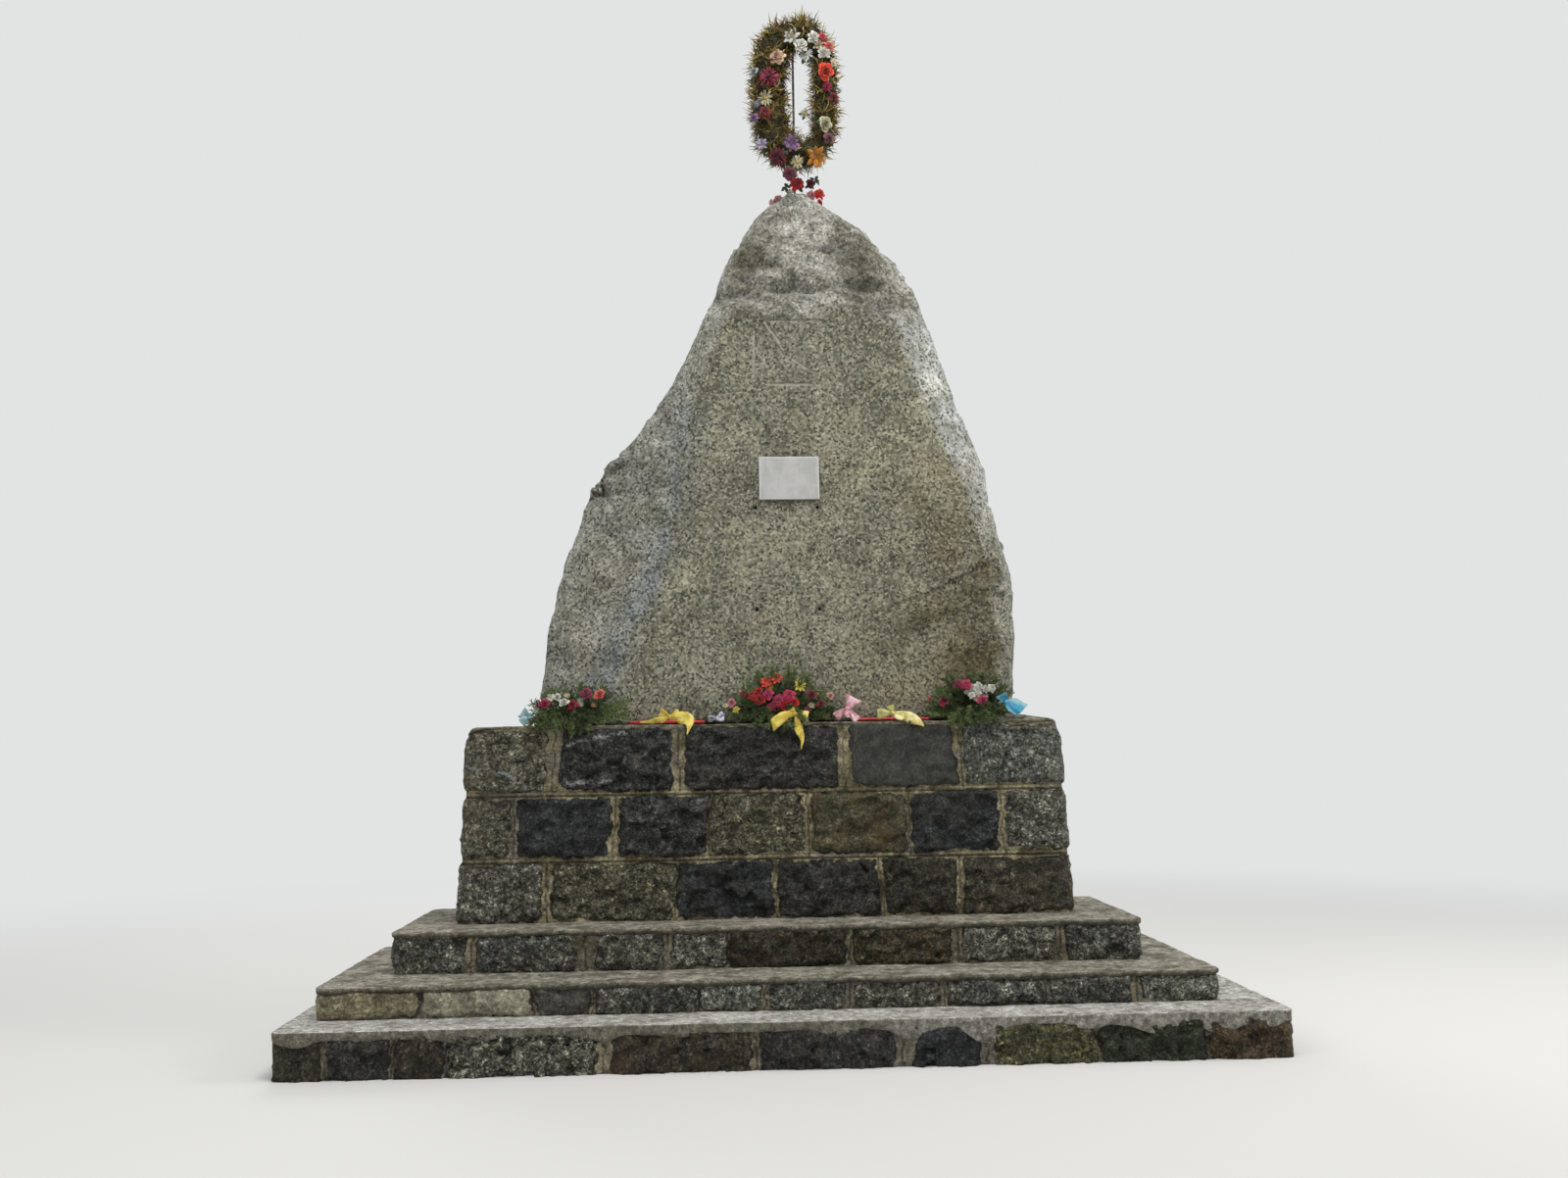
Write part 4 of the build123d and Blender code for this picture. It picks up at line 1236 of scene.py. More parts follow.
class Pattern(Tree):
    """A geometry node tree while it is made, with named inputs for its sizes."""

    def __init__(self, name):
        self.group = bpy.data.node_groups.new(name, "GeometryNodeTree")
        super().__init__(self.group)
        self.group.interface.new_socket("Shape", in_out="OUTPUT", socket_type="NodeSocketGeometry")
        self.entry = self.nodes.new("NodeGroupInput")
        self.exit = self.nodes.new("NodeGroupOutput")

    def sizes(self, **kinds):
        for name, kind in kinds.items():
            self.group.interface.new_socket(name, in_out="INPUT", socket_type="NodeSocket" + kind)
        return [Socket(self, self.entry.outputs[name]) for name in kinds]

    def between(self, low, high, seed):
        """A random number for each element."""
        settings = {"data_type": "FLOAT"}
        return self.node("FunctionNodeRandomValue", settings, {2: low, 3: high, 8: seed}, 1)

    def blend(self, share, first, second):
        return self.node("ShaderNodeMix", {"data_type": "FLOAT"}, {0: share, 2: first, 3: second})

    def shape_of(self, holder):
        return self.node("GeometryNodeObjectInfo", values={"Object": holder}).other("Geometry")

    def copies(self, points, shape, lean, spin, scale, shade, along=None):
        """A shape on each point, which leans from the axis and spins about it. Its shade is kept
        for its material."""
        angles = self.node("ShaderNodeCombineXYZ", values={0: lean, 2: spin})
        turn = self.node("FunctionNodeEulerToRotation", values={0: angles})
        if along:
            aim = self.node("FunctionNodeAlignRotationToVector", {"axis": "Z"}, {"Vector": along})
            settings = {"rotation_space": "LOCAL"}
            turn = self.node("FunctionNodeRotateRotation", settings, {0: aim, 1: turn})
        values = {"Points": points, "Instance": shape, "Rotation": turn, "Scale": scale}
        made = self.node("GeometryNodeInstanceOnPoints", values=values)
        return self.node("GeometryNodeRealizeInstances", values={0: self.shaded(made, shade, "INSTANCE")})

    def shaded(self, shape, shade, domain):
        settings = {"data_type": "FLOAT", "domain": domain}
        values = {"Geometry": shape, "Name": "shade", "Value": shade}
        return self.node("GeometryNodeStoreNamedAttribute", settings, values)

    def made_of(self, shape, material):
        return self.node("GeometryNodeSetMaterial", values={"Geometry": shape, "Material": material})

    def give(self, *shapes):
        joined = self.node("GeometryNodeJoinGeometry")
        for shape in shapes:
            self.feed(joined.link.node.inputs[0], shape)
        self.feed(self.exit.inputs[0], joined)


def grown(pattern, mesh, name, **sizes):
    """The plain mesh that a pattern makes of a mesh."""
    holder = placed(name, mesh)
    modifier = holder.modifiers.new("pattern", "NODES")
    modifier.node_group = pattern.group
    for item in pattern.group.interface.items_tree:
        if item.in_out == "INPUT" and item.name in sizes:
            modifier[item.identifier] = sizes[item.name]
    made = evaluated_mesh(holder, name)
    bpy.data.objects.remove(holder)
    return made


def needle_pattern():
    """Fir: stems with needles all round them, leaning towards the tips."""
    pattern = Pattern("fir needles")
    stems, spacing, round_stem, length, thickness, seed, fir, bark = pattern.sizes(
        Stems="Geometry", Spacing="Float", Needles="Int", Length="Float", Thickness="Float",
        Seed="Int", Fir="Material", Bark="Material",
    )
    curve = pattern.node("GeometryNodeMeshToCurve", values={"Mesh": stems})
    values = {"Curve": curve, "Length": spacing}
    points = pattern.node("GeometryNodeCurveToPoints", {"mode": "LENGTH"}, values)
    values = {"Geometry": points, "Amount": round_stem}
    many = pattern.node("GeometryNodeDuplicateElements", {"domain": "POINT"}, values)
    values = {"Vertices": 3, "Radius Top": 0.0, "Radius Bottom": thickness, "Depth": length}
    cone = pattern.node("GeometryNodeMeshCone", values=values)
    settings = {"data_type": "FLOAT"}
    frond_shade = pattern.node("GeometryNodeInputNamedAttribute", settings, {"Name": "frond"})
    needles = pattern.copies(
        many, cone, pattern.between(0.55, 1.05, seed), pattern.between(0.0, math.tau, seed + 1),
        pattern.between(0.65, 1.15, seed + 2),
        pattern.blend(0.65, pattern.between(0.0, 1.0, seed + 3), frond_shade),
        points.other("Tangent"),
    )
    ring = pattern.node("GeometryNodeCurvePrimitiveCircle", values={"Resolution": 5, "Radius": 0.0016})
    values = {"Curve": curve, "Profile Curve": ring, "Fill Caps": True}
    wood = pattern.node("GeometryNodeCurveToMesh", values=values)
    pattern.give(pattern.made_of(needles, fir), pattern.made_of(wood, bark))
    return pattern


def straw_pattern():
    """Blades and small leaves that stand out of the wreath's core."""
    pattern = Pattern("dried straw")
    core, density, blade, least, most, flattest, seed, material = pattern.sizes(
        Core="Geometry", Density="Float", Blade="Object", Least="Float", Most="Float",
        Flattest="Float", Seed="Int", Material="Material",
    )
    values = {"Mesh": core, "Density": density, "Seed": seed}
    points = pattern.node("GeometryNodeDistributePointsOnFaces", values=values)
    clumps = pattern.node("ShaderNodeTexNoise", values={"Scale": 17.0, "Detail": 1.0})
    values = {0: clumps, 1: 0.38, 2: 0.62, 3: 0.0, 4: 1.0}
    tufts = pattern.node("ShaderNodeMapRange", values=values)
    blades = pattern.copies(
        points, pattern.shape_of(blade), pattern.between(0.5, flattest, seed),
        pattern.between(0.0, math.tau, seed + 1),
        pattern.between(least, most, seed + 2) * pattern.blend(tufts, 0.62, 1.30),
        pattern.blend(0.6, pattern.between(0.0, 1.0, seed + 3), tufts), points.other("Normal"),
    )
    pattern.give(pattern.made_of(blades, material))
    return pattern


def whorl_pattern():
    """Petals on a spiral about a flower's axis, from the middle outwards."""
    pattern = Pattern("petals")
    petal, count, first_lean, last_lean, first_size, turn, heart, seed = pattern.sizes(
        Petal="Object", Petals="Int", First_lean="Float", Last_lean="Float", First_size="Float",
        Turn="Float", Heart="Float", Seed="Int",
    )
    points = pattern.node("GeometryNodePoints", values={"Count": count})
    index = pattern.node("GeometryNodeInputIndex")
    share = index / (count - 0.999)
    # Each petal's shade rises from the middle outwards, and the petal finish paints the inner petals
    # darker with it
    petals = pattern.copies(
        points, pattern.shape_of(petal),
        pattern.blend(share, first_lean, last_lean) + pattern.between(-0.12, 0.12, seed),
        index * turn + pattern.between(-0.14, 0.14, seed + 1),
        pattern.blend(share, first_size, 1.0) * pattern.between(0.88, 1.08, seed + 2),
        share * 0.9,
    )
    ball = pattern.node("GeometryNodeMeshIcoSphere", values={"Radius": heart, "Subdivisions": 2})
    pattern.give(petals, pattern.shaded(ball, 1.5, "POINT"))
    return pattern


def petal(name, width, cup, curl, point, columns=3, rows=5, thickness=0.022):
    """A petal one unit long, along its axis, with its upper side towards +Y."""
    points = []
    for offset, row in itertools.product((thickness / 2, -thickness / 2), range(rows + 1)):
        along = row / rows
        swell = math.sin(math.pi * min(along * (0.72 + 0.22 * point), 1)) ** (0.55 + 0.6 * point)
        tip = 1 - max(0, (along - 0.82) / 0.18) ** 2 * (0.55 + 0.4 * point)
        half = width / 2 * max(swell, 0.16) * tip
        for column in range(columns + 1):
            across = 2 * column / columns - 1
            bowl = cup * (1 - across**2) * math.sin(math.pi * min(along, 0.92))
            y = offset - bowl - curl * along**2.4 + 0.03 * across * math.sin(5 * along)
            points.append((half * across, y, along - 0.10 * curl * along))
    size = (rows + 1) * (columns + 1)
    index = np.arange(size).reshape(rows + 1, columns + 1)
    quads = [index[:-1, :-1], index[:-1, 1:], index[1:, 1:], index[1:, :-1]]
    quads = np.stack(quads, axis=-1).reshape(-1, 4)
    rim = np.concatenate([index[0, :-1], index[:-1, -1], index[-1, :0:-1], index[:0:-1, 0]])
    after = np.roll(rim, -1)
    edge = np.column_stack([rim, after, after + size, rim + size])
    mesh = new_mesh(name, points, np.vstack([quads[:, ::-1], quads + size, edge]).tolist())
    face_outwards(mesh)
    return placed(name, mesh)


def arrays_of(mesh):
    """Points, triangles, the shade of each point and the material of each triangle."""
    mesh.calc_loop_triangles()
    triangles = np.empty(len(mesh.loop_triangles) * 3, dtype=np.int32)
    mesh.loop_triangles.foreach_get("vertices", triangles)
    shade = np.zeros(len(mesh.vertices), dtype=np.float32)
    if "shade" in mesh.attributes:
        mesh.attributes["shade"].data.foreach_get("value", shade)
    return points_of(mesh), triangles.reshape(-1, 3), shade


GOLDEN = math.radians(137.5)
HEAD_KINDS = {
    # petal, petals, first lean, last lean, first size, turn, heart
    "rose": ("round", 17, 0.10, 1.25, 0.55, GOLDEN, 0.10),
    "aster": ("narrow", 48, 0.15, 1.75, 0.70, GOLDEN, 0.12),
    "carnation": ("frilled", 26, 0.05, 1.45, 0.60, GOLDEN, 0.10),
    "lily": ("long", 9, 0.70, 1.20, 0.85, math.radians(80.5), 0.09),
    "daisy": ("narrow", 17, 1.25, 1.45, 0.95, math.radians(42), 0.20),
    "bud": ("round", 8, 0.02, 0.42, 0.80, GOLDEN, 0.16),
    "leaves": ("long", 4, 1.35, 1.75, 0.85, math.radians(88), 0.05),
}


def flower_heads():
    """One head of each kind, a unit in radius, as arrays."""
    petals = {
        "round": petal("round_petal", 0.86, 0.16, 0.10, 0.0),
        "narrow": petal("narrow_petal", 0.20, 0.05, 0.10, 0.4, 2, 4),
        "frilled": petal("frilled_petal", 0.62, -0.06, 0.22, 0.0),
        "long": petal("long_petal", 0.46, 0.08, 0.30, 0.8, 2, 6),
    }
    pattern = whorl_pattern()
    heads = {}
    empty = bpy.data.meshes.new("axis")
    for number, (kind, facts) in enumerate(HEAD_KINDS.items()):
        shape, count, first_lean, last_lean, first_size, turn, heart = facts
        heads[kind] = arrays_of(grown(
            pattern, empty, kind, Petal=petals[shape], Petals=count, Seed=7 * number, Turn=turn,
            Heart=heart, First_lean=first_lean, Last_lean=last_lean, First_size=first_size,
        ))
    for holder in petals.values():
        bpy.data.objects.remove(holder)
    return heads


def gather(name, heads, flowers):
    """Flower heads set in place as one mesh, each with its own colour."""
    points, triangles, colours, shades = [], [], [], []
    count = 0
    random = np.random.default_rng(len(name) * 7 + len(flowers))
    for place, aim, diameter, kind, tone in flowers:
        head_points, head_triangles, shade = heads[kind]
        spin = Matrix.Rotation(random.uniform(0, 6), 3, "Z").to_quaternion()
        turn = Vector(aim).normalized().to_track_quat("Z", "Y") @ spin
        points.append((head_points * diameter / 2) @ np.array(turn.to_matrix()).T + np.array(place))
        triangles.append(head_triangles + count)
        count += len(head_points)
        tint = np.array(srgb(*tone)) * random.uniform(0.88, 1.10)
        colours.append(np.tile(np.append(tint, 1), (len(head_points), 1)))
        shades.append(shade)
    mesh = new_mesh(name, np.vstack(points).tolist(), np.vstack(triangles).tolist())
    set_attribute(mesh, "petal_tone", np.vstack(colours))
    set_attribute(mesh, "shade", np.concatenate(shades))
    return mesh


def petal_finish():
    """Dyed cloth petals, with painted shade that makes them deeper towards the flower's middle."""
    finish = Finish("petal cloth", Roughness=0.7, Sheen_Weight=0.25)
    shade = finish.attribute("shade")
    weave = finish.noise(0.0022, 2, 0.6)
    fade = finish.noise(0.018, 3, 0.6)
    # Painted shade: darker towards each flower's middle
    light = 0.52 + shade * 0.62 + (fade - 0.5) * 0.8 + (weave - 0.5) * 0.25
    colour = finish.shade(finish.attribute("petal_tone", "Color"), light)
    colour = finish.mix(finish.band(shade, 1.1, 1.4), colour, srgb(176, 148, 52))
    return finish.done(colour, None, weave * 0.0005 + fade * 0.001, 0.6)


def plant_finish(name, dark, pale, tip):
    finish = Finish(name, Roughness=0.62, Specular_IOR_Level=0.3)
    shade = finish.attribute("shade")
    cloud = finish.noise(0.05, 3, 0.6)
    fibre = finish.noise(0.002, 2, 0.6)
    share = finish.band(shade + (cloud - 0.5) * 1.2, 0.1, 0.9)
    colour = finish.mix(share, srgb(*dark), srgb(*pale))
    colour = finish.mix(finish.band(shade, 0.82, 0.95), colour, srgb(*tip))
    return finish.done(finish.shade(colour, 0.72 + fibre * 0.56), None, fibre * 0.0006, 0.6)


# Greenery: each frond starts somewhere, points somewhere and has a length and a droop

FROND_STEPS = 9
TWIG_STEPS = 3
# How far out from a spray's heart the painted shade on the fronds fades away
PALE_REACH = 0.26


def unit(vector):
    return vector / max(np.linalg.norm(vector), 1e-6)


def frond(start, aim, length, droop, twist, random, stems):
    """A branch with side twigs, as polylines."""
    place = np.array(start, dtype=float)
    aim = unit(np.array(aim, dtype=float))
    across = unit(np.cross(aim, (0.0, -1.0, 0.15)))
    across = math.cos(twist) * across + math.sin(twist) * np.cross(across, aim)
    fall = np.array((0, 0, -droop / FROND_STEPS))
    line = [place.copy()]
    for step in range(FROND_STEPS):
        aim = unit(aim + fall + random.uniform(-0.04, 0.04, 3))
        place = place + aim * length / FROND_STEPS
        line.append(place.copy())
        if step == 0:
            continue
        reach = length * (0.20 - 0.12 * step / FROND_STEPS) * random.uniform(0.7, 1.2)
        for side in (-1, 1):
            out = unit(aim * 0.78 + across * side * 0.75 + random.uniform(-0.1, 0.1, 3))
            twig = [place.copy()]
            for _ in range(TWIG_STEPS):
                out = unit(out + aim * 0.10 + fall)
                twig.append(twig[-1] + out * reach / TWIG_STEPS)
            stems.append(twig)
    stems.append(line)


def clear_of_rock(stems):
    """Keeps twigs in front of the split face, above the ledge or in front of the plinth."""
    low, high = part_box("plinth_cap_mortar")
    ledge = high.z + 0.006
    for place in itertools.chain.from_iterable(stems):
        place[1] = min(place[1], face_y(place[2]) - 0.012)
        if place[2] < ledge and place[1] >= low.y + 0.02:
            place[2] = ledge
        elif place[2] < ledge and place[1] > low.y - 0.012:
            place[1] = low.y - 0.012


def stem_mesh(name, stems, fronds, heart):
    """The twigs as edges. Each frond has a shade of its own, and painted shade darkens it towards the
    spray's heart, so that it gets paler outwards.
    """
    points, edges = [], []
    for line in stems:
        start = len(points)
        points += [tuple(place) for place in line]
        edges += [(start + step, start + step + 1) for step in range(len(line) - 1)]
    mesh = new_mesh(name, points, [], edges)
    own = np.concatenate([np.full(len(line), shade) for line, shade in zip(stems, fronds)])
    away = np.linalg.norm(np.array(points) - np.array(heart), axis=1) / PALE_REACH
    set_attribute(mesh, "frond", 0.5 * own + 0.5 * np.clip(away, 0, 1) ** 1.5)
    return mesh


# For each spray: how many fronds stand in the fan and how many hang forwards, the widest
# turn of the hanging ones and where they start
SPRAY_FRONDS = {
    "left_spray": (20, 26, 1.75, -1.25),
    "centre_spray": (26, 8, 1.35, 0.00),
    "right_spray": (24, 16, 1.20, 1.16),
}


def build_greenery(pattern, fir, bark):
    for number, (spray, (standing, hanging, spread, start_x)) in enumerate(SPRAY_FRONDS.items()):
        low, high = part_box(spray + "_greenery")
        random = np.random.default_rng(130 + number)
        middle_x = (low.x + high.x) / 2
        half_width = (high.x - low.x) / 2
        height = high.z - low.z
        stems, fronds = [], []
        for step in range(standing):
            turn = math.radians(4 + 172 * (step + random.uniform(0.1, 0.9)) / standing)
            reach = math.hypot(half_width * math.cos(turn), height * math.sin(turn))
            root = random.uniform(0.0, 0.34)
            x = middle_x + half_width * math.cos(turn) * root
            z = low.z + 0.02 + height * math.sin(turn) * root
            y = low.y + random.uniform(0.012, 0.055)
            aim = (math.cos(turn), random.uniform(-0.22, 0.05), math.sin(turn) * 0.9 + 0.05)
            length = reach * (1 - root) * random.uniform(0.85, 1.08)
            frond((x, y, z), aim, length, 0.25, random.uniform(-0.4, 0.4), random, stems)
            fronds += [random.uniform()] * (len(stems) - len(fronds))
        for step in range(hanging):
            turn = spread * (2 * (step + random.uniform(0.2, 0.8)) / hanging - 1)
            x = start_x + 0.10 * half_width * math.sin(turn) * random.uniform(0.5, 1.5)
            start = (x, low.y - 0.01, low.z + random.uniform(0.045, 0.095))
            aim = (math.sin(turn), -0.55, 0.25 - 0.35 * math.cos(turn))
            length = random.uniform(0.13, 0.20)
            frond(start, aim, length, 0.9, random.uniform(-0.5, 0.5), random, stems)
            fronds += [random.uniform()] * (len(stems) - len(fronds))
        clear_of_rock(stems)
        mesh = grown(
            pattern, stem_mesh("stems", stems, fronds, (start_x, low.y, low.z + 0.05)), spray + "_fir",
            Spacing=0.0078, Needles=3, Length=0.020, Thickness=0.0036, Seed=140 + 10 * number,
            Fir=fir, Bark=bark,
        )
        add_piece(spray + "_fir", mesh, spray + "_greenery")


WHITE = (214, 212, 200)
CREAM = (206, 196, 160)
GREY_WHITE = (176, 178, 182)
MAGENTA = (170, 30, 78)
DEEP_MAGENTA = (120, 22, 52)
DARK_RED = (112, 20, 26)
RED = (186, 26, 30)
BRIGHT_RED = (214, 34, 30)
ORANGE_RED = (216, 66, 38)
SALMON = (214, 100, 88)
PINK = (208, 132, 142)
LILAC = (160, 118, 172)
ORANGE = (214, 136, 30)
YELLOW = (206, 190, 70)
LEAF = (52, 74, 34)

WREATH_MIDDLE = (0.176, 5.70)
WREATH_HALF = (0.29, 0.54)
ROD_FLOWERS_Z = 5.10
SPRAY_FLOWERS_Z = 1.85

# Flower heads on the wreath: x, z and diameter in millimetres, kind and colour
WREATH_FLOWERS = [
    (160, 6046, 135, "lily", WHITE), (218, 5992, 100, "carnation", WHITE),
    (252, 5935, 105, "daisy", GREY_WHITE), (296, 6040, 95, "carnation", WHITE),
    (330, 5990, 95, "lily", CREAM), (362, 5940, 95, "carnation", WHITE),
    (352, 6048, 75, "carnation", (196, 60, 70)), (392, 5985, 80, "carnation", SALMON),
    (68, 5913, 115, "carnation", (208, 172, 146)), (-78, 5816, 65, "rose", GREY_WHITE),
    (18, 5784, 150, "aster", MAGENTA), (370, 5812, 130, "rose", ORANGE_RED),
    (380, 5724, 75, "aster", (190, 40, 90)), (-7, 5648, 110, "daisy", CREAM),
    (414, 5637, 80, "rose", DARK_RED), (-65, 5604, 60, "daisy", (120, 124, 150)),
    (-11, 5554, 95, "carnation", (128, 24, 26)), (-82, 5517, 70, "aster", LILAC),
    (360, 5476, 110, "rose", (208, 204, 170)), (148, 5356, 125, "lily", LILAC),
    (-36, 5342, 95, "lily", (176, 160, 186)), (385, 5379, 85, "rose", (132, 84, 92)),
    (64, 5262, 135, "aster", DEEP_MAGENTA), (298, 5268, 160, "lily", ORANGE),
    (182, 5232, 95, "daisy", CREAM), (135, 5160, 95, "carnation", (110, 40, 62)),
    (425, 5875, 70, "daisy", CREAM), (235, 5545, 70, "daisy", (190, 186, 160)),
]
ROD_FLOWERS = [
    (186, 5146, 105, "carnation", RED), (272, 5146, 70, "rose", DARK_RED),
    (330, 5082, 75, "carnation", BRIGHT_RED), (278, 5074, 70, "carnation", PINK),
    (145, 5096, 45, "daisy", WHITE), (326, 5020, 50, "rose", RED),
    (66, 5048, 65, "carnation", PINK), (26, 5028, 50, "daisy", (200, 150, 140)),
    (305, 5178, 75, "leaves", LEAF), (120, 5128, 70, "leaves", LEAF),
]
SPRAY_FLOWERS = {
    "left_spray": [
        (-1357, 1874, 78, "rose", MAGENTA), (-1322, 1916, 60, "daisy", WHITE),
        (-1286, 1914, 55, "rose", WHITE), (-1243, 1882, 70, "rose", WHITE),
        (-1228, 1925, 45, "daisy", CREAM), (-1195, 1868, 80, "rose", (160, 34, 60)),
        (-1118, 1934, 85, "carnation", DEEP_MAGENTA), (-1037, 1926, 78, "rose", SALMON),
        (-1150, 1895, 45, "daisy", WHITE), (-1405, 1842, 60, "carnation", WHITE),
        (-1070, 1870, 45, "daisy", (150, 120, 80)), (-1148, 1872, 40, "daisy", WHITE),
    ],
    "centre_spray": [
        (-60, 1985, 88, "lily", ORANGE_RED), (0, 2008, 90, "lily", ORANGE_RED),
        (-40, 1958, 60, "daisy", ORANGE), (136, 1962, 95, "lily", YELLOW),
        (-190, 1922, 55, "carnation", DARK_RED), (-145, 1915, 70, "carnation", RED),
        (-98, 1885, 85, "rose", RED), (-50, 1915, 80, "carnation", MAGENTA),
        (-105, 1932, 60, "rose", (190, 40, 50)), (10, 1875, 90, "carnation", MAGENTA),
        (75, 1905, 88, "carnation", (176, 28, 72)), (40, 1848, 95, "rose", BRIGHT_RED),
        (100, 1862, 80, "rose", BRIGHT_RED), (-30, 1840, 70, "carnation", (150, 20, 50)),
        (205, 1905, 80, "rose", DARK_RED), (262, 1852, 58, "rose", DARK_RED),
        (205, 1848, 50, "daisy", CREAM), (-262, 1868, 62, "rose", PINK),
        (-300, 1855, 45, "daisy", CREAM), (-240, 1826, 55, "lily", YELLOW),
        (180, 1822, 48, "carnation", DEEP_MAGENTA), (318, 1900, 55, "rose", (200, 150, 140)),
    ],
    "right_spray": [
        (1075, 1962, 75, "carnation", DEEP_MAGENTA), (1125, 1955, 75, "carnation", MAGENTA),
        (990, 1860, 75, "rose", MAGENTA), (1130, 1912, 45, "daisy", WHITE),
        (1165, 1938, 55, "carnation", WHITE), (1200, 1950, 55, "carnation", WHITE),
        (1195, 1910, 58, "carnation", WHITE), (1238, 1930, 55, "carnation", WHITE),
        (1275, 1935, 60, "carnation", WHITE), (1238, 1895, 48, "daisy", WHITE),
        (1220, 1858, 80, "rose", (190, 60, 100)), (905, 1868, 55, "bud", SALMON),
        (1180, 1876, 45, "daisy", CREAM), (1155, 1895, 50, "carnation", WHITE),
    ],
}


def build_flowers(material):
    heads = flower_heads()
    random = np.random.default_rng(17)

    def arrange(node, flowers, front, outward, lean=0.0):
        arranged = []
        for *sizes, kind, tone in flowers:
            x, z, diameter = [size / 1000 for size in sizes]
            y = front + lean * (z - SPRAY_FLOWERS_Z) + random.uniform(-0.012, 0.008)
            aim = Vector(outward(x, z)) + Vector(random.uniform(-0.28, 0.28, 3))
            arranged.append(((x, y, z), aim, diameter, kind, tone))
            arranged.append(((x, y + 0.006, z), aim, diameter * 1.25, "leaves", LEAF))
        mesh = gather(node + "_heads", heads, arranged)
        add_piece(node + "_heads", mesh, node, material)

    def from_wreath(x, z):
        across, up = x - WREATH_MIDDLE[0], z - WREATH_MIDDLE[1]
        return 0.35 * across / WREATH_HALF[0], -1, 0.35 * up / WREATH_HALF[1]

    wreath_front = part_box("wreath_ring")[0].y + 0.012
    arrange("wreath_blossoms", WREATH_FLOWERS, wreath_front, from_wreath)
    low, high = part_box("rod_blossoms")
    middle = (low + high) / 2
    arrange(
        "rod_blossoms", ROD_FLOWERS, middle.y - 0.05,
        lambda x, z: (2.5 * (x - middle.x), -1.0, 4 * (z - ROD_FLOWERS_Z)),
    )
    for spray, flowers in SPRAY_FLOWERS.items():
        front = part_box(spray + "_blossoms")[0].y + 0.012
        arrange(spray + "_blossoms", flowers, front, lambda x, z: (0, -1, 0.45), 0.06)


# The wreath

# The radius of its end arcs, of its solid's tube and of its core, and how far its ring stays
# under the solid's top
WREATH_END = 0.158
WREATH_TUBE = 0.108
CORE_RADIUS = 0.076
WREATH_TUFT = 0.080
WREATH_STEPS = 220
WREATH_SIDES = 26
LIMB_SWELL = 0.070
TUFT_PLACE = (0.27, 6.0)
TUFT_RISE = 0.035
BLADE_LENGTH = 0.080


def oval_path(count):
    """Points and outward directions along the wreath's middle line, four tangent arcs."""
    low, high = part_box("wreath_ring")
    high.z -= WREATH_TUFT
    centre = (low + high) / 2
    half_width = (high.x - low.x) / 2 - WREATH_TUBE
    half_height = (high.z - low.z) / 2 - WREATH_TUBE
    rise = half_height - WREATH_END
    side = (half_width**2 + rise**2 - WREATH_END**2) / (2 * (half_width - WREATH_END))
    turn = math.atan2(rise, side - half_width)
    arcs = [
        ((0, rise), WREATH_END, turn, math.pi - turn),
        ((side - half_width, 0), side, math.pi - turn, math.pi + turn),
        ((0, -rise), WREATH_END, math.pi + turn, math.tau - turn),
        ((half_width - side, 0), side, -turn, turn),
    ]
    lengths = [radius * abs(end - start) for _, radius, start, end in arcs]
    places, outward = [], []
    for (x, z), radius, start, end in arcs:
        steps = round(count * radius * abs(end - start) / sum(lengths))
        for step in range(steps):
            angle = start + (end - start) * step / steps
            out = (math.cos(angle), 0.0, math.sin(angle))
            places.append((centre.x + x + radius * out[0], centre.y, centre.z + z + radius * out[2]))
            outward.append(out)
    return np.array(places), np.array(outward)


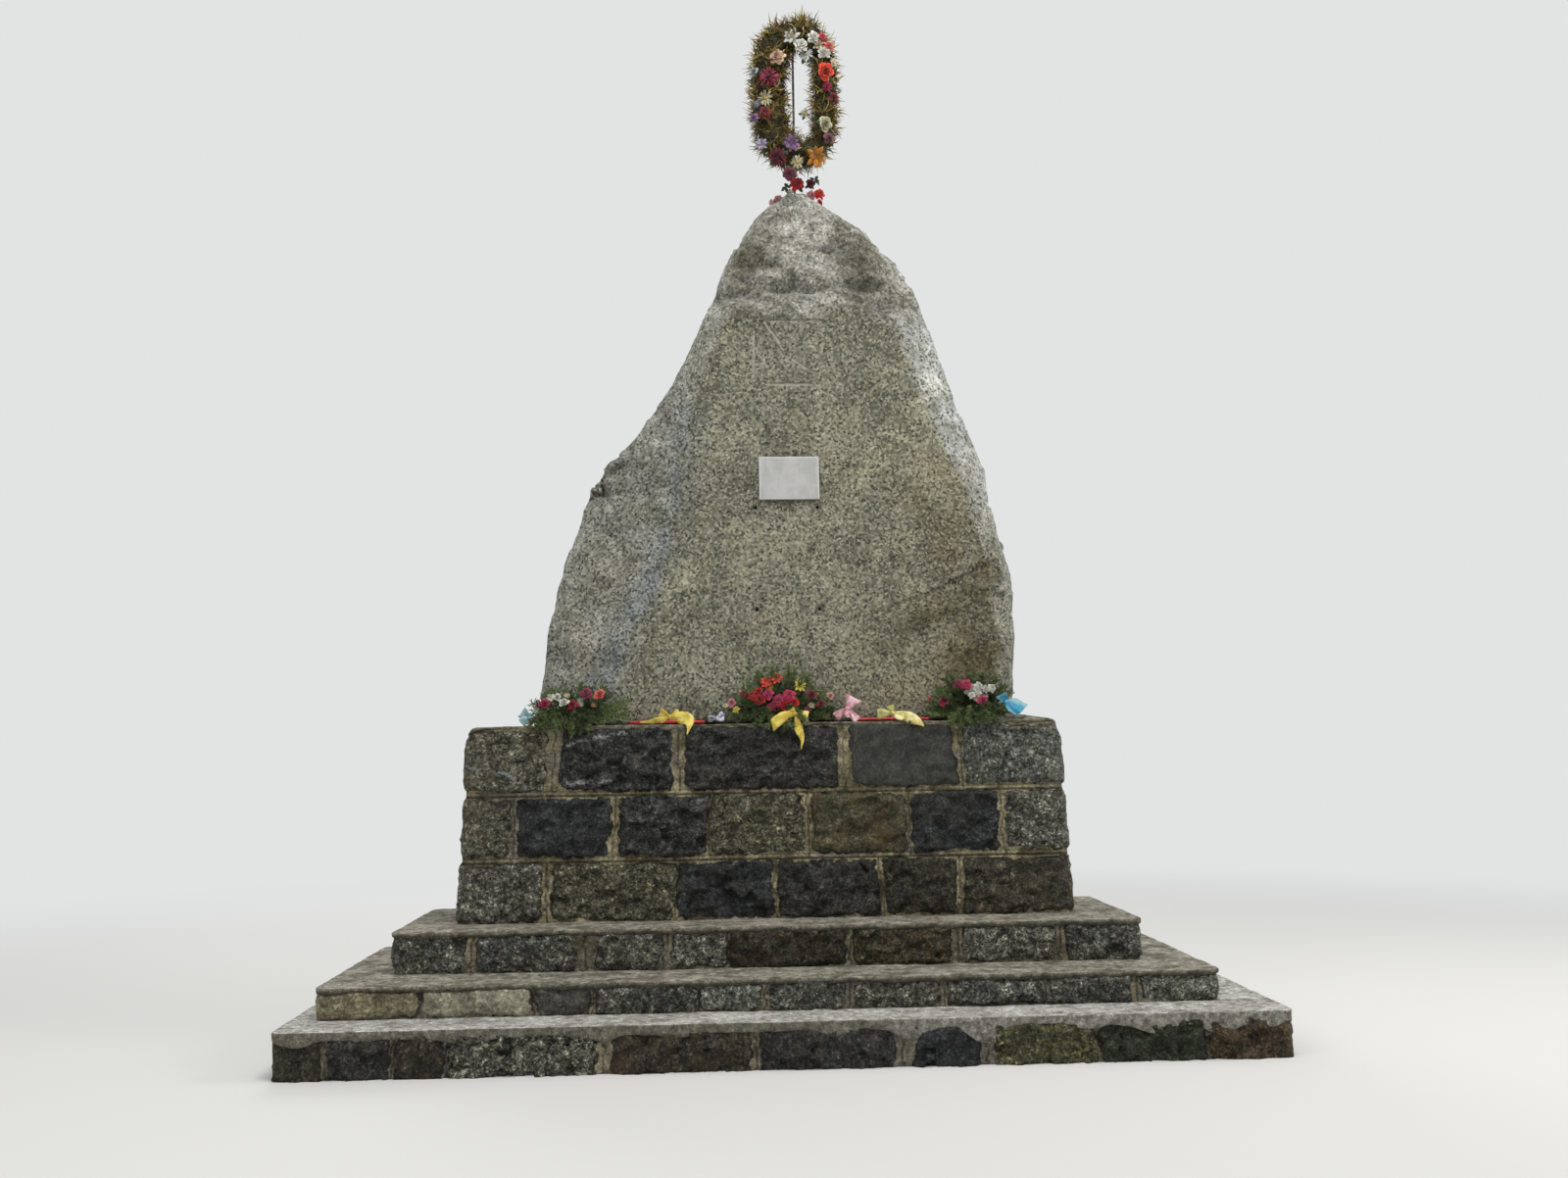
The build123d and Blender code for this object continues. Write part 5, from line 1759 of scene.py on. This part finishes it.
def build_wreath(straw, leafy):
    places, outward = oval_path(WREATH_STEPS)
    turns = np.arange(WREATH_SIDES) / WREATH_SIDES * math.tau
    backward = np.array((0.0, 1.0, 0.0))
    spokes = np.stack([np.outer(np.cos(turns), out) for out in outward])
    spokes = spokes + np.sin(turns)[:, None] * backward
    flat = (places[:, None] + CORE_RADIUS * spokes).reshape(-1, 3)
    bumps = 0.009 * roughness_of(flat, 0.045, 2, 151)
    flat = flat + spokes.reshape(-1, 3) * bumps[:, None]
    # The left limb is the thicker one, and a tuft stands on the top
    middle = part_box("wreath_rod")[0].x
    inner = peak(flat[:, 0] - middle, 0.12) * smooth(-abs(flat[:, 2] - WREATH_MIDDLE[1]), -0.50, -0.25)
    flat[:, 0] += LIMB_SWELL * inner
    flat[:, 2] += TUFT_RISE * peak(flat[:, 0] - TUFT_PLACE[0], 0.06) * (flat[:, 2] > TUFT_PLACE[1])
    core = closed_grid("wreath_core", flat.reshape(spokes.shape))
    # The core takes the straw finish without a shade attribute, so it gets its darkest tone: painted shade
    # between the tufts
    add_piece("wreath_core", core, "wreath_ring", straw)
    bend = 0.55 * BLADE_LENGTH
    blade = bpy.data.meshes.new("blade")
    blade.from_pydata(
        [(0.0026, 0, 0), (-0.0014, 0.0020, 0), (-0.0014, -0.0020, 0), (0.0042, 0.001, bend),
         (-0.0008, 0.0038, bend), (-0.0008, -0.0008, bend), (0.016, 0.008, BLADE_LENGTH)],
        [],
        [(0, 2, 1), (0, 1, 4, 3), (1, 2, 5, 4), (2, 0, 3, 5), (3, 4, 6), (4, 5, 6), (5, 3, 6)],
    )
    blade = placed("blade", blade)
    leaf = petal("leaf", 0.42, 0.10, 0.25, 1.0, 2, 3, 0.03)
    leaf.data.transform(Matrix.Scale(0.045, 4))
    pattern = straw_pattern()
    for name, shape, density, least, most, flattest, seed, material in (
        ("wreath_straw", blade, 4600, 0.40, 1.05, 1.25, 3, straw),
        ("wreath_leaves", leaf, 700, 0.5, 1.0, 1.40, 9, leafy),
    ):
        mesh = grown(
            pattern, core, name, Density=density, Blade=shape, Least=least, Most=most,
            Flattest=flattest, Seed=seed, Material=material,
        )
        add_piece(name, mesh, "wreath_ring")
        bpy.data.objects.remove(shape)


# Ribbons

RIBBON_THICKNESS = 0.0008
RIBBON_BOW = 0.0025
RIBBON_COLUMNS = 5
KNOT_SIDES = 16


def smooth_line(points, steps):
    """A smooth line through a few points."""
    points = np.array(points, dtype=float)
    padded = np.vstack([2 * points[0] - points[1], points, 2 * points[-1] - points[-2]])
    line = []
    for index in range(len(points) - 1):
        a, b, c, d = padded[index:index + 4]
        for t in np.arange(steps) / steps:
            bend = (2 * a - 5 * b + 4 * c - d) * t**2 + (3 * b - a - 3 * c + d) * t**3
            line.append(0.5 * (2 * b + (c - a) * t + bend))
    return np.array(line + [points[-1]])


def strip(path, widths, turned=None, rolls=0.0, slant=0.0):
    """A ribbon along a path, as a ring of points for each step, and its area. Its width lies
    across the path, turned by the roll."""
    tangent = np.gradient(path, axis=0)
    tangent /= np.linalg.norm(tangent, axis=1)[:, None]
    if turned is None:
        across = np.cross(tangent, (0.0, -1.0, 0.0))
        across[np.linalg.norm(across, axis=1) < 0.05] = (0.0, 0.0, 1.0)
        across /= np.linalg.norm(across, axis=1)[:, None]
        for index in range(1, len(path)):
            if across[index] @ across[index - 1] < 0:
                across[index] *= -1
        turned = np.cos(rolls)[:, None] * across + np.sin(rolls)[:, None] * np.cross(across, tangent)
    normal = np.cross(turned, tangent)
    cut = tangent * (slant * smooth(np.linspace(0, 1, len(path)), 0.45, 1.0))[:, None]
    ring = []
    for side in (1, -1):
        for share in side * np.linspace(-1, 1, RIBBON_COLUMNS):
            out = side * RIBBON_THICKNESS / 2 + RIBBON_BOW * (1 - share**2)
            line = path + turned * (widths * share / 2)[:, None] + normal * out
            ring.append(line - cut * (1 + share) / 2)
    lengths = np.linalg.norm(np.diff(path, axis=0), axis=1)
    return np.stack(ring, axis=1), float(np.sum(lengths * (widths[1:] + widths[:-1]) / 2))


def ribbon_bow(node, slot, material, knot, loops, tails, width):
    """A bow. Loops are direction, length, height, tilt and width, tails are lines with a
    width, a roll, a taper and the slant of the cut end."""
    strips = []
    knot = np.array(knot)
    for angle, length, height, tilt, wide in loops:
        angle, tilt = math.radians(angle), math.radians(tilt)
        out = np.array((math.cos(angle), 0.0, math.sin(angle)))
        rise = math.sin(tilt) * np.array((-math.sin(angle), 0.0, math.cos(angle)))
        rise = rise + math.cos(tilt) * np.array((0.0, -1.0, 0.0))
        share = np.pi * np.linspace(0, 1, 25)
        reach = np.sin(share) ** 0.75
        spread = -np.cos(share) * np.sin(share) ** 0.7
        path = knot + out * (length * reach)[:, None] + rise * (height * spread)[:, None]
        path[:, 2] -= 0.006 * reach**2
        strips.append(strip(path, wide * (0.34 + 0.66 * smooth(reach, 0.0, 0.9)), np.cross(out, rise)))
    for line, wide, roll, taper, slant in tails:
        path = smooth_line([knot] + [(knot[0] + place[0], *place[1:]) for place in line], 7)
        share = np.linspace(0, 1, len(path))
        widths = wide * (0.34 + 0.66 * smooth(share, 0.0, 0.5)) * (1 - taper * smooth(share, 0.45, 1))
        strips.append(strip(path, widths, None, np.radians(roll) * smooth(share, 0.0, 0.6), slant))
    turns = np.arange(KNOT_SIDES) / KNOT_SIDES * math.tau
    band = np.column_stack([np.zeros(KNOT_SIDES), 0.013 * np.cos(turns), 0.014 * np.sin(turns)])
    size = 0.30 * width + 0.004
    rings = [
        band * bulge + knot + (side * size, 0, 0)
        for side, bulge in ((-0.5, 0.72), (-0.2, 1.0), (0.2, 1.0), (0.5, 0.72))
    ]
    last = 2 * RIBBON_COLUMNS - 1
    ends = [[column, column + 1, last - 1 - column, last - column] for column in range(RIBBON_COLUMNS - 1)]
    points, faces = [], []
    for grid, caps in [(grid, ends) for grid, _ in strips] + [(np.stack(rings), [range(KNOT_SIDES)])]:
        count, around = grid.shape[:2]
        quads = grid_faces(count, around, False) + len(points)
        far = (count - 1) * around
        faces += quads.tolist()
        faces += [[len(points) + end + corner for corner in cap] for end in (0, far) for cap in caps]
        points += grid.reshape(-1, 3).tolist()
    mesh = new_mesh(node + "_ribbon", points, faces)
    face_outwards(mesh)
    places = points_of(mesh)
    normals = points_of(mesh, "normal")
    crumple = 0.0036 * lumps(places, 0.022, 161) + 0.0012 * lumps(places, 0.009, 162)
    places = places + np.abs(normals) * crumple[:, None] * 0.8
    mesh.vertices.foreach_set("co", places.astype(np.float32).ravel())
    piece = add_piece(node + "_ribbon", mesh, node, material)


def ribbon_finish(name, tone, deep):
    """Satin ribbon with fine ribs, patched with a second tone: painted shade of folds on most ribbons, a
    paler blue on the blue one.
    """
    finish = Finish(name, Roughness=0.38, Sheen_Weight=0.3, Specular_IOR_Level=0.5)
    fade = finish.noise(0.060, 3, 0.6)
    drawn = finish.vector("MULTIPLY", finish.place, (1.0, 1.0, 6.0))
    ribs = finish.noise(0.004, place=drawn)
    colour = finish.mix(finish.band(fade, 0.42, 0.58), srgb(*tone), srgb(*deep))
    colour = finish.shade(colour, 0.88 + ribs * 0.24)
    return finish.done(colour, 0.34 + fade * 0.2, ribs * 0.0004 + fade * 0.001, 0.6)


# Each ribbon's tone and its second tone: the second is painted shade of folds, except the blue ribbon's,
# which is paler
RIBBON_TONES = {
    "yellow ribbon": ((222, 204, 92), (186, 158, 44)),
    "faded yellow ribbon": ((220, 214, 150), (190, 176, 92)),
    "white ribbon": ((234, 235, 238), (172, 176, 194)),
    "pink ribbon": ((222, 182, 188), (192, 124, 136)),
    "blue ribbon": ((52, 150, 188), (136, 178, 182)),
    "pale blue ribbon": ((164, 194, 196), (132, 168, 172)),
    "red ribbon": ((212, 42, 40), (172, 28, 30)),
}
# Each bow: slot, finish, knot, loops, tails and width. A tail's places are x from the knot, y and z
BOWS = {
    "left_yellow_bow": (
        "yellow_ribbon", "yellow ribbon", (-0.628, 0.130, 1.790),
        [(24, 0.066, 0.018, 26, 0.056), (150, 0.068, 0.018, 24, 0.050), (196, 0.060, 0.012, 10, 0.030)],
        [
            ([(-0.06, 0.120, 1.778), (-0.11, 0.116, 1.766), (-0.170, 0.124, 1.762)], 0.040, 40, 0.7, 0.0),
            ([(0.05, 0.118, 1.790), (0.100, 0.104, 1.772), (0.112, 0.078, 1.740), (0.100, 0.074, 1.682)],
             0.090, 0, 0.92, 0.010),
        ],
        0.050,
    ),
    "white_bow": (
        "white_ribbon", "white ribbon", (-0.352, 0.130, 1.778),
        [(176, 0.052, 0.022, 64, 0.040), (48, 0.056, 0.014, 40, 0.028), (8, 0.044, 0.012, 30, 0.026)],
        [([(0.015, 0.122, 1.774), (0.036, 0.120, 1.762)], 0.020, 30, 0.3, 0.008)],
        0.026,
    ),
    "centre_yellow_bow": (
        "yellow_ribbon", "yellow ribbon", (0.105, 0.098, 1.796),
        [(-8, 0.078, 0.020, 24, 0.064), (128, 0.046, 0.012, 20, 0.042)],
        [
            ([(-0.045, 0.088, 1.790), (-0.095, 0.078, 1.766), (-0.150, 0.076, 1.722)],
             0.066, -12, 0.0, 0.030),
            ([(0.010, 0.082, 1.760), (0.020, 0.076, 1.705), (0.036, 0.072, 1.645), (0.026, 0.070, 1.588)],
             0.050, 14, 0.85, 0.012),
        ],
        0.056,
    ),
    "pink_bow": (
        "pink_ribbon", "pink ribbon", (0.415, 0.132, 1.826),
        [(58, 0.082, 0.022, 26, 0.098), (212, 0.086, 0.018, 22, 0.054), (-50, 0.088, 0.016, 24, 0.046)],
        [([(-0.004, 0.124, 1.800), (0.004, 0.120, 1.768)], 0.036, 10, 0.3, 0.010)],
        0.064,
    ),
    "right_yellow_bow": (
        "yellow_ribbon", "faded yellow ribbon", (0.680, 0.128, 1.794),
        [(178, 0.092, 0.018, 28, 0.060), (106, 0.056, 0.014, 26, 0.040)],
        [
            ([(0.05, 0.118, 1.786), (0.095, 0.104, 1.770), (0.130, 0.084, 1.744), (0.150, 0.076, 1.700)],
             0.064, 8, 0.0, 0.050),
            ([(0.03, 0.112, 1.772), (0.070, 0.104, 1.758)], 0.036, 30, 0.2, 0.014),
        ],
        0.054,
    ),
    "blue_bow": (
        "blue_ribbon", "blue ribbon", (1.350, 0.130, 1.852),
        [(118, 0.056, 0.026, 46, 0.064), (150, 0.036, 0.012, 30, 0.050)],
        [
            ([(0.04, 0.120, 1.842), (0.075, 0.115, 1.822), (0.115, 0.118, 1.800)], 0.078, 14, 0.0, 0.024),
            ([(0.02, 0.122, 1.820), (0.050, 0.115, 1.800), (0.080, 0.118, 1.780)], 0.050, 30, 0.0, 0.014),
        ],
        0.056,
    ),
    "pale_blue_bow": (
        "pale_blue_ribbon", "pale blue ribbon", (-1.442, 0.130, 1.796),
        [(140, 0.064, 0.014, 20, 0.066), (84, 0.040, 0.012, 24, 0.040)],
        [([(-0.030, 0.120, 1.784), (-0.050, 0.118, 1.762)], 0.050, 16, 0.0, 0.010)],
        0.048,
    ),
}


def build_ribbons():
    finishes = {name: ribbon_finish(name, *tones) for name, tones in RIBBON_TONES.items()}
    for node, (slot, finish, *shape) in BOWS.items():
        ribbon_bow(node, slot, finishes[finish], *shape)
    for node in ("left_spray_handle", "right_spray_handle"):
        wrap_handle(node, finishes["red ribbon"])


WRAP_STEPS = 150
WRAP_SIDES = 20
WRAP_PITCH = 0.034
WRAP_LAP = 0.0024


def wrap_handle(node, material):
    """Stems wrapped in red ribbon, each turn lapping the last."""
    low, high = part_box(node)
    radius = (high.z - low.z) / 2
    middle = (low + high) / 2
    turns = -np.arange(WRAP_SIDES) / WRAP_SIDES * math.tau
    places = [low.x, low.x] + list(np.linspace(low.x, high.x, WRAP_STEPS)) + [high.x, high.x]
    shares = [0.05, 0.6] + [1] * WRAP_STEPS + [0.6, 0.05]
    rows = []
    for x, share in zip(places, shares):
        lap = ((x / WRAP_PITCH + turns / math.tau) % 1.0) * WRAP_LAP
        level = middle.z + 0.0016 * math.sin((x - low.x) * 9) - 0.0008
        wide = share * (radius - 0.003 + lap)
        ring = [np.full(WRAP_SIDES, x), middle.y + wide * np.cos(turns), level + wide * np.sin(turns)]
        rows.append(np.column_stack(ring))
    mesh = capped_tube(node + "_wrapped", np.stack(rows))
    add_piece(node + "_wrapped", mesh, node, material)


plinth_outline = build_plinth()
build_screeds(*build_steps(), plinth_outline)
build_boulder(boulder_finish())
dress_solids()
fir = plant_finish("fir needles", (24, 36, 18), (108, 126, 76), (172, 184, 134))
bark = plant_finish("fir bark", (70, 56, 40), (92, 76, 54), (110, 92, 66))
straw = plant_finish("dried straw", (40, 34, 14), (142, 120, 60), (212, 190, 124))
leafy = plant_finish("dried leaves", (44, 50, 22), (92, 88, 40), (120, 92, 48))
build_greenery(needle_pattern(), fir, bark)
build_wreath(straw, leafy)
build_flowers(petal_finish())
build_ribbons()
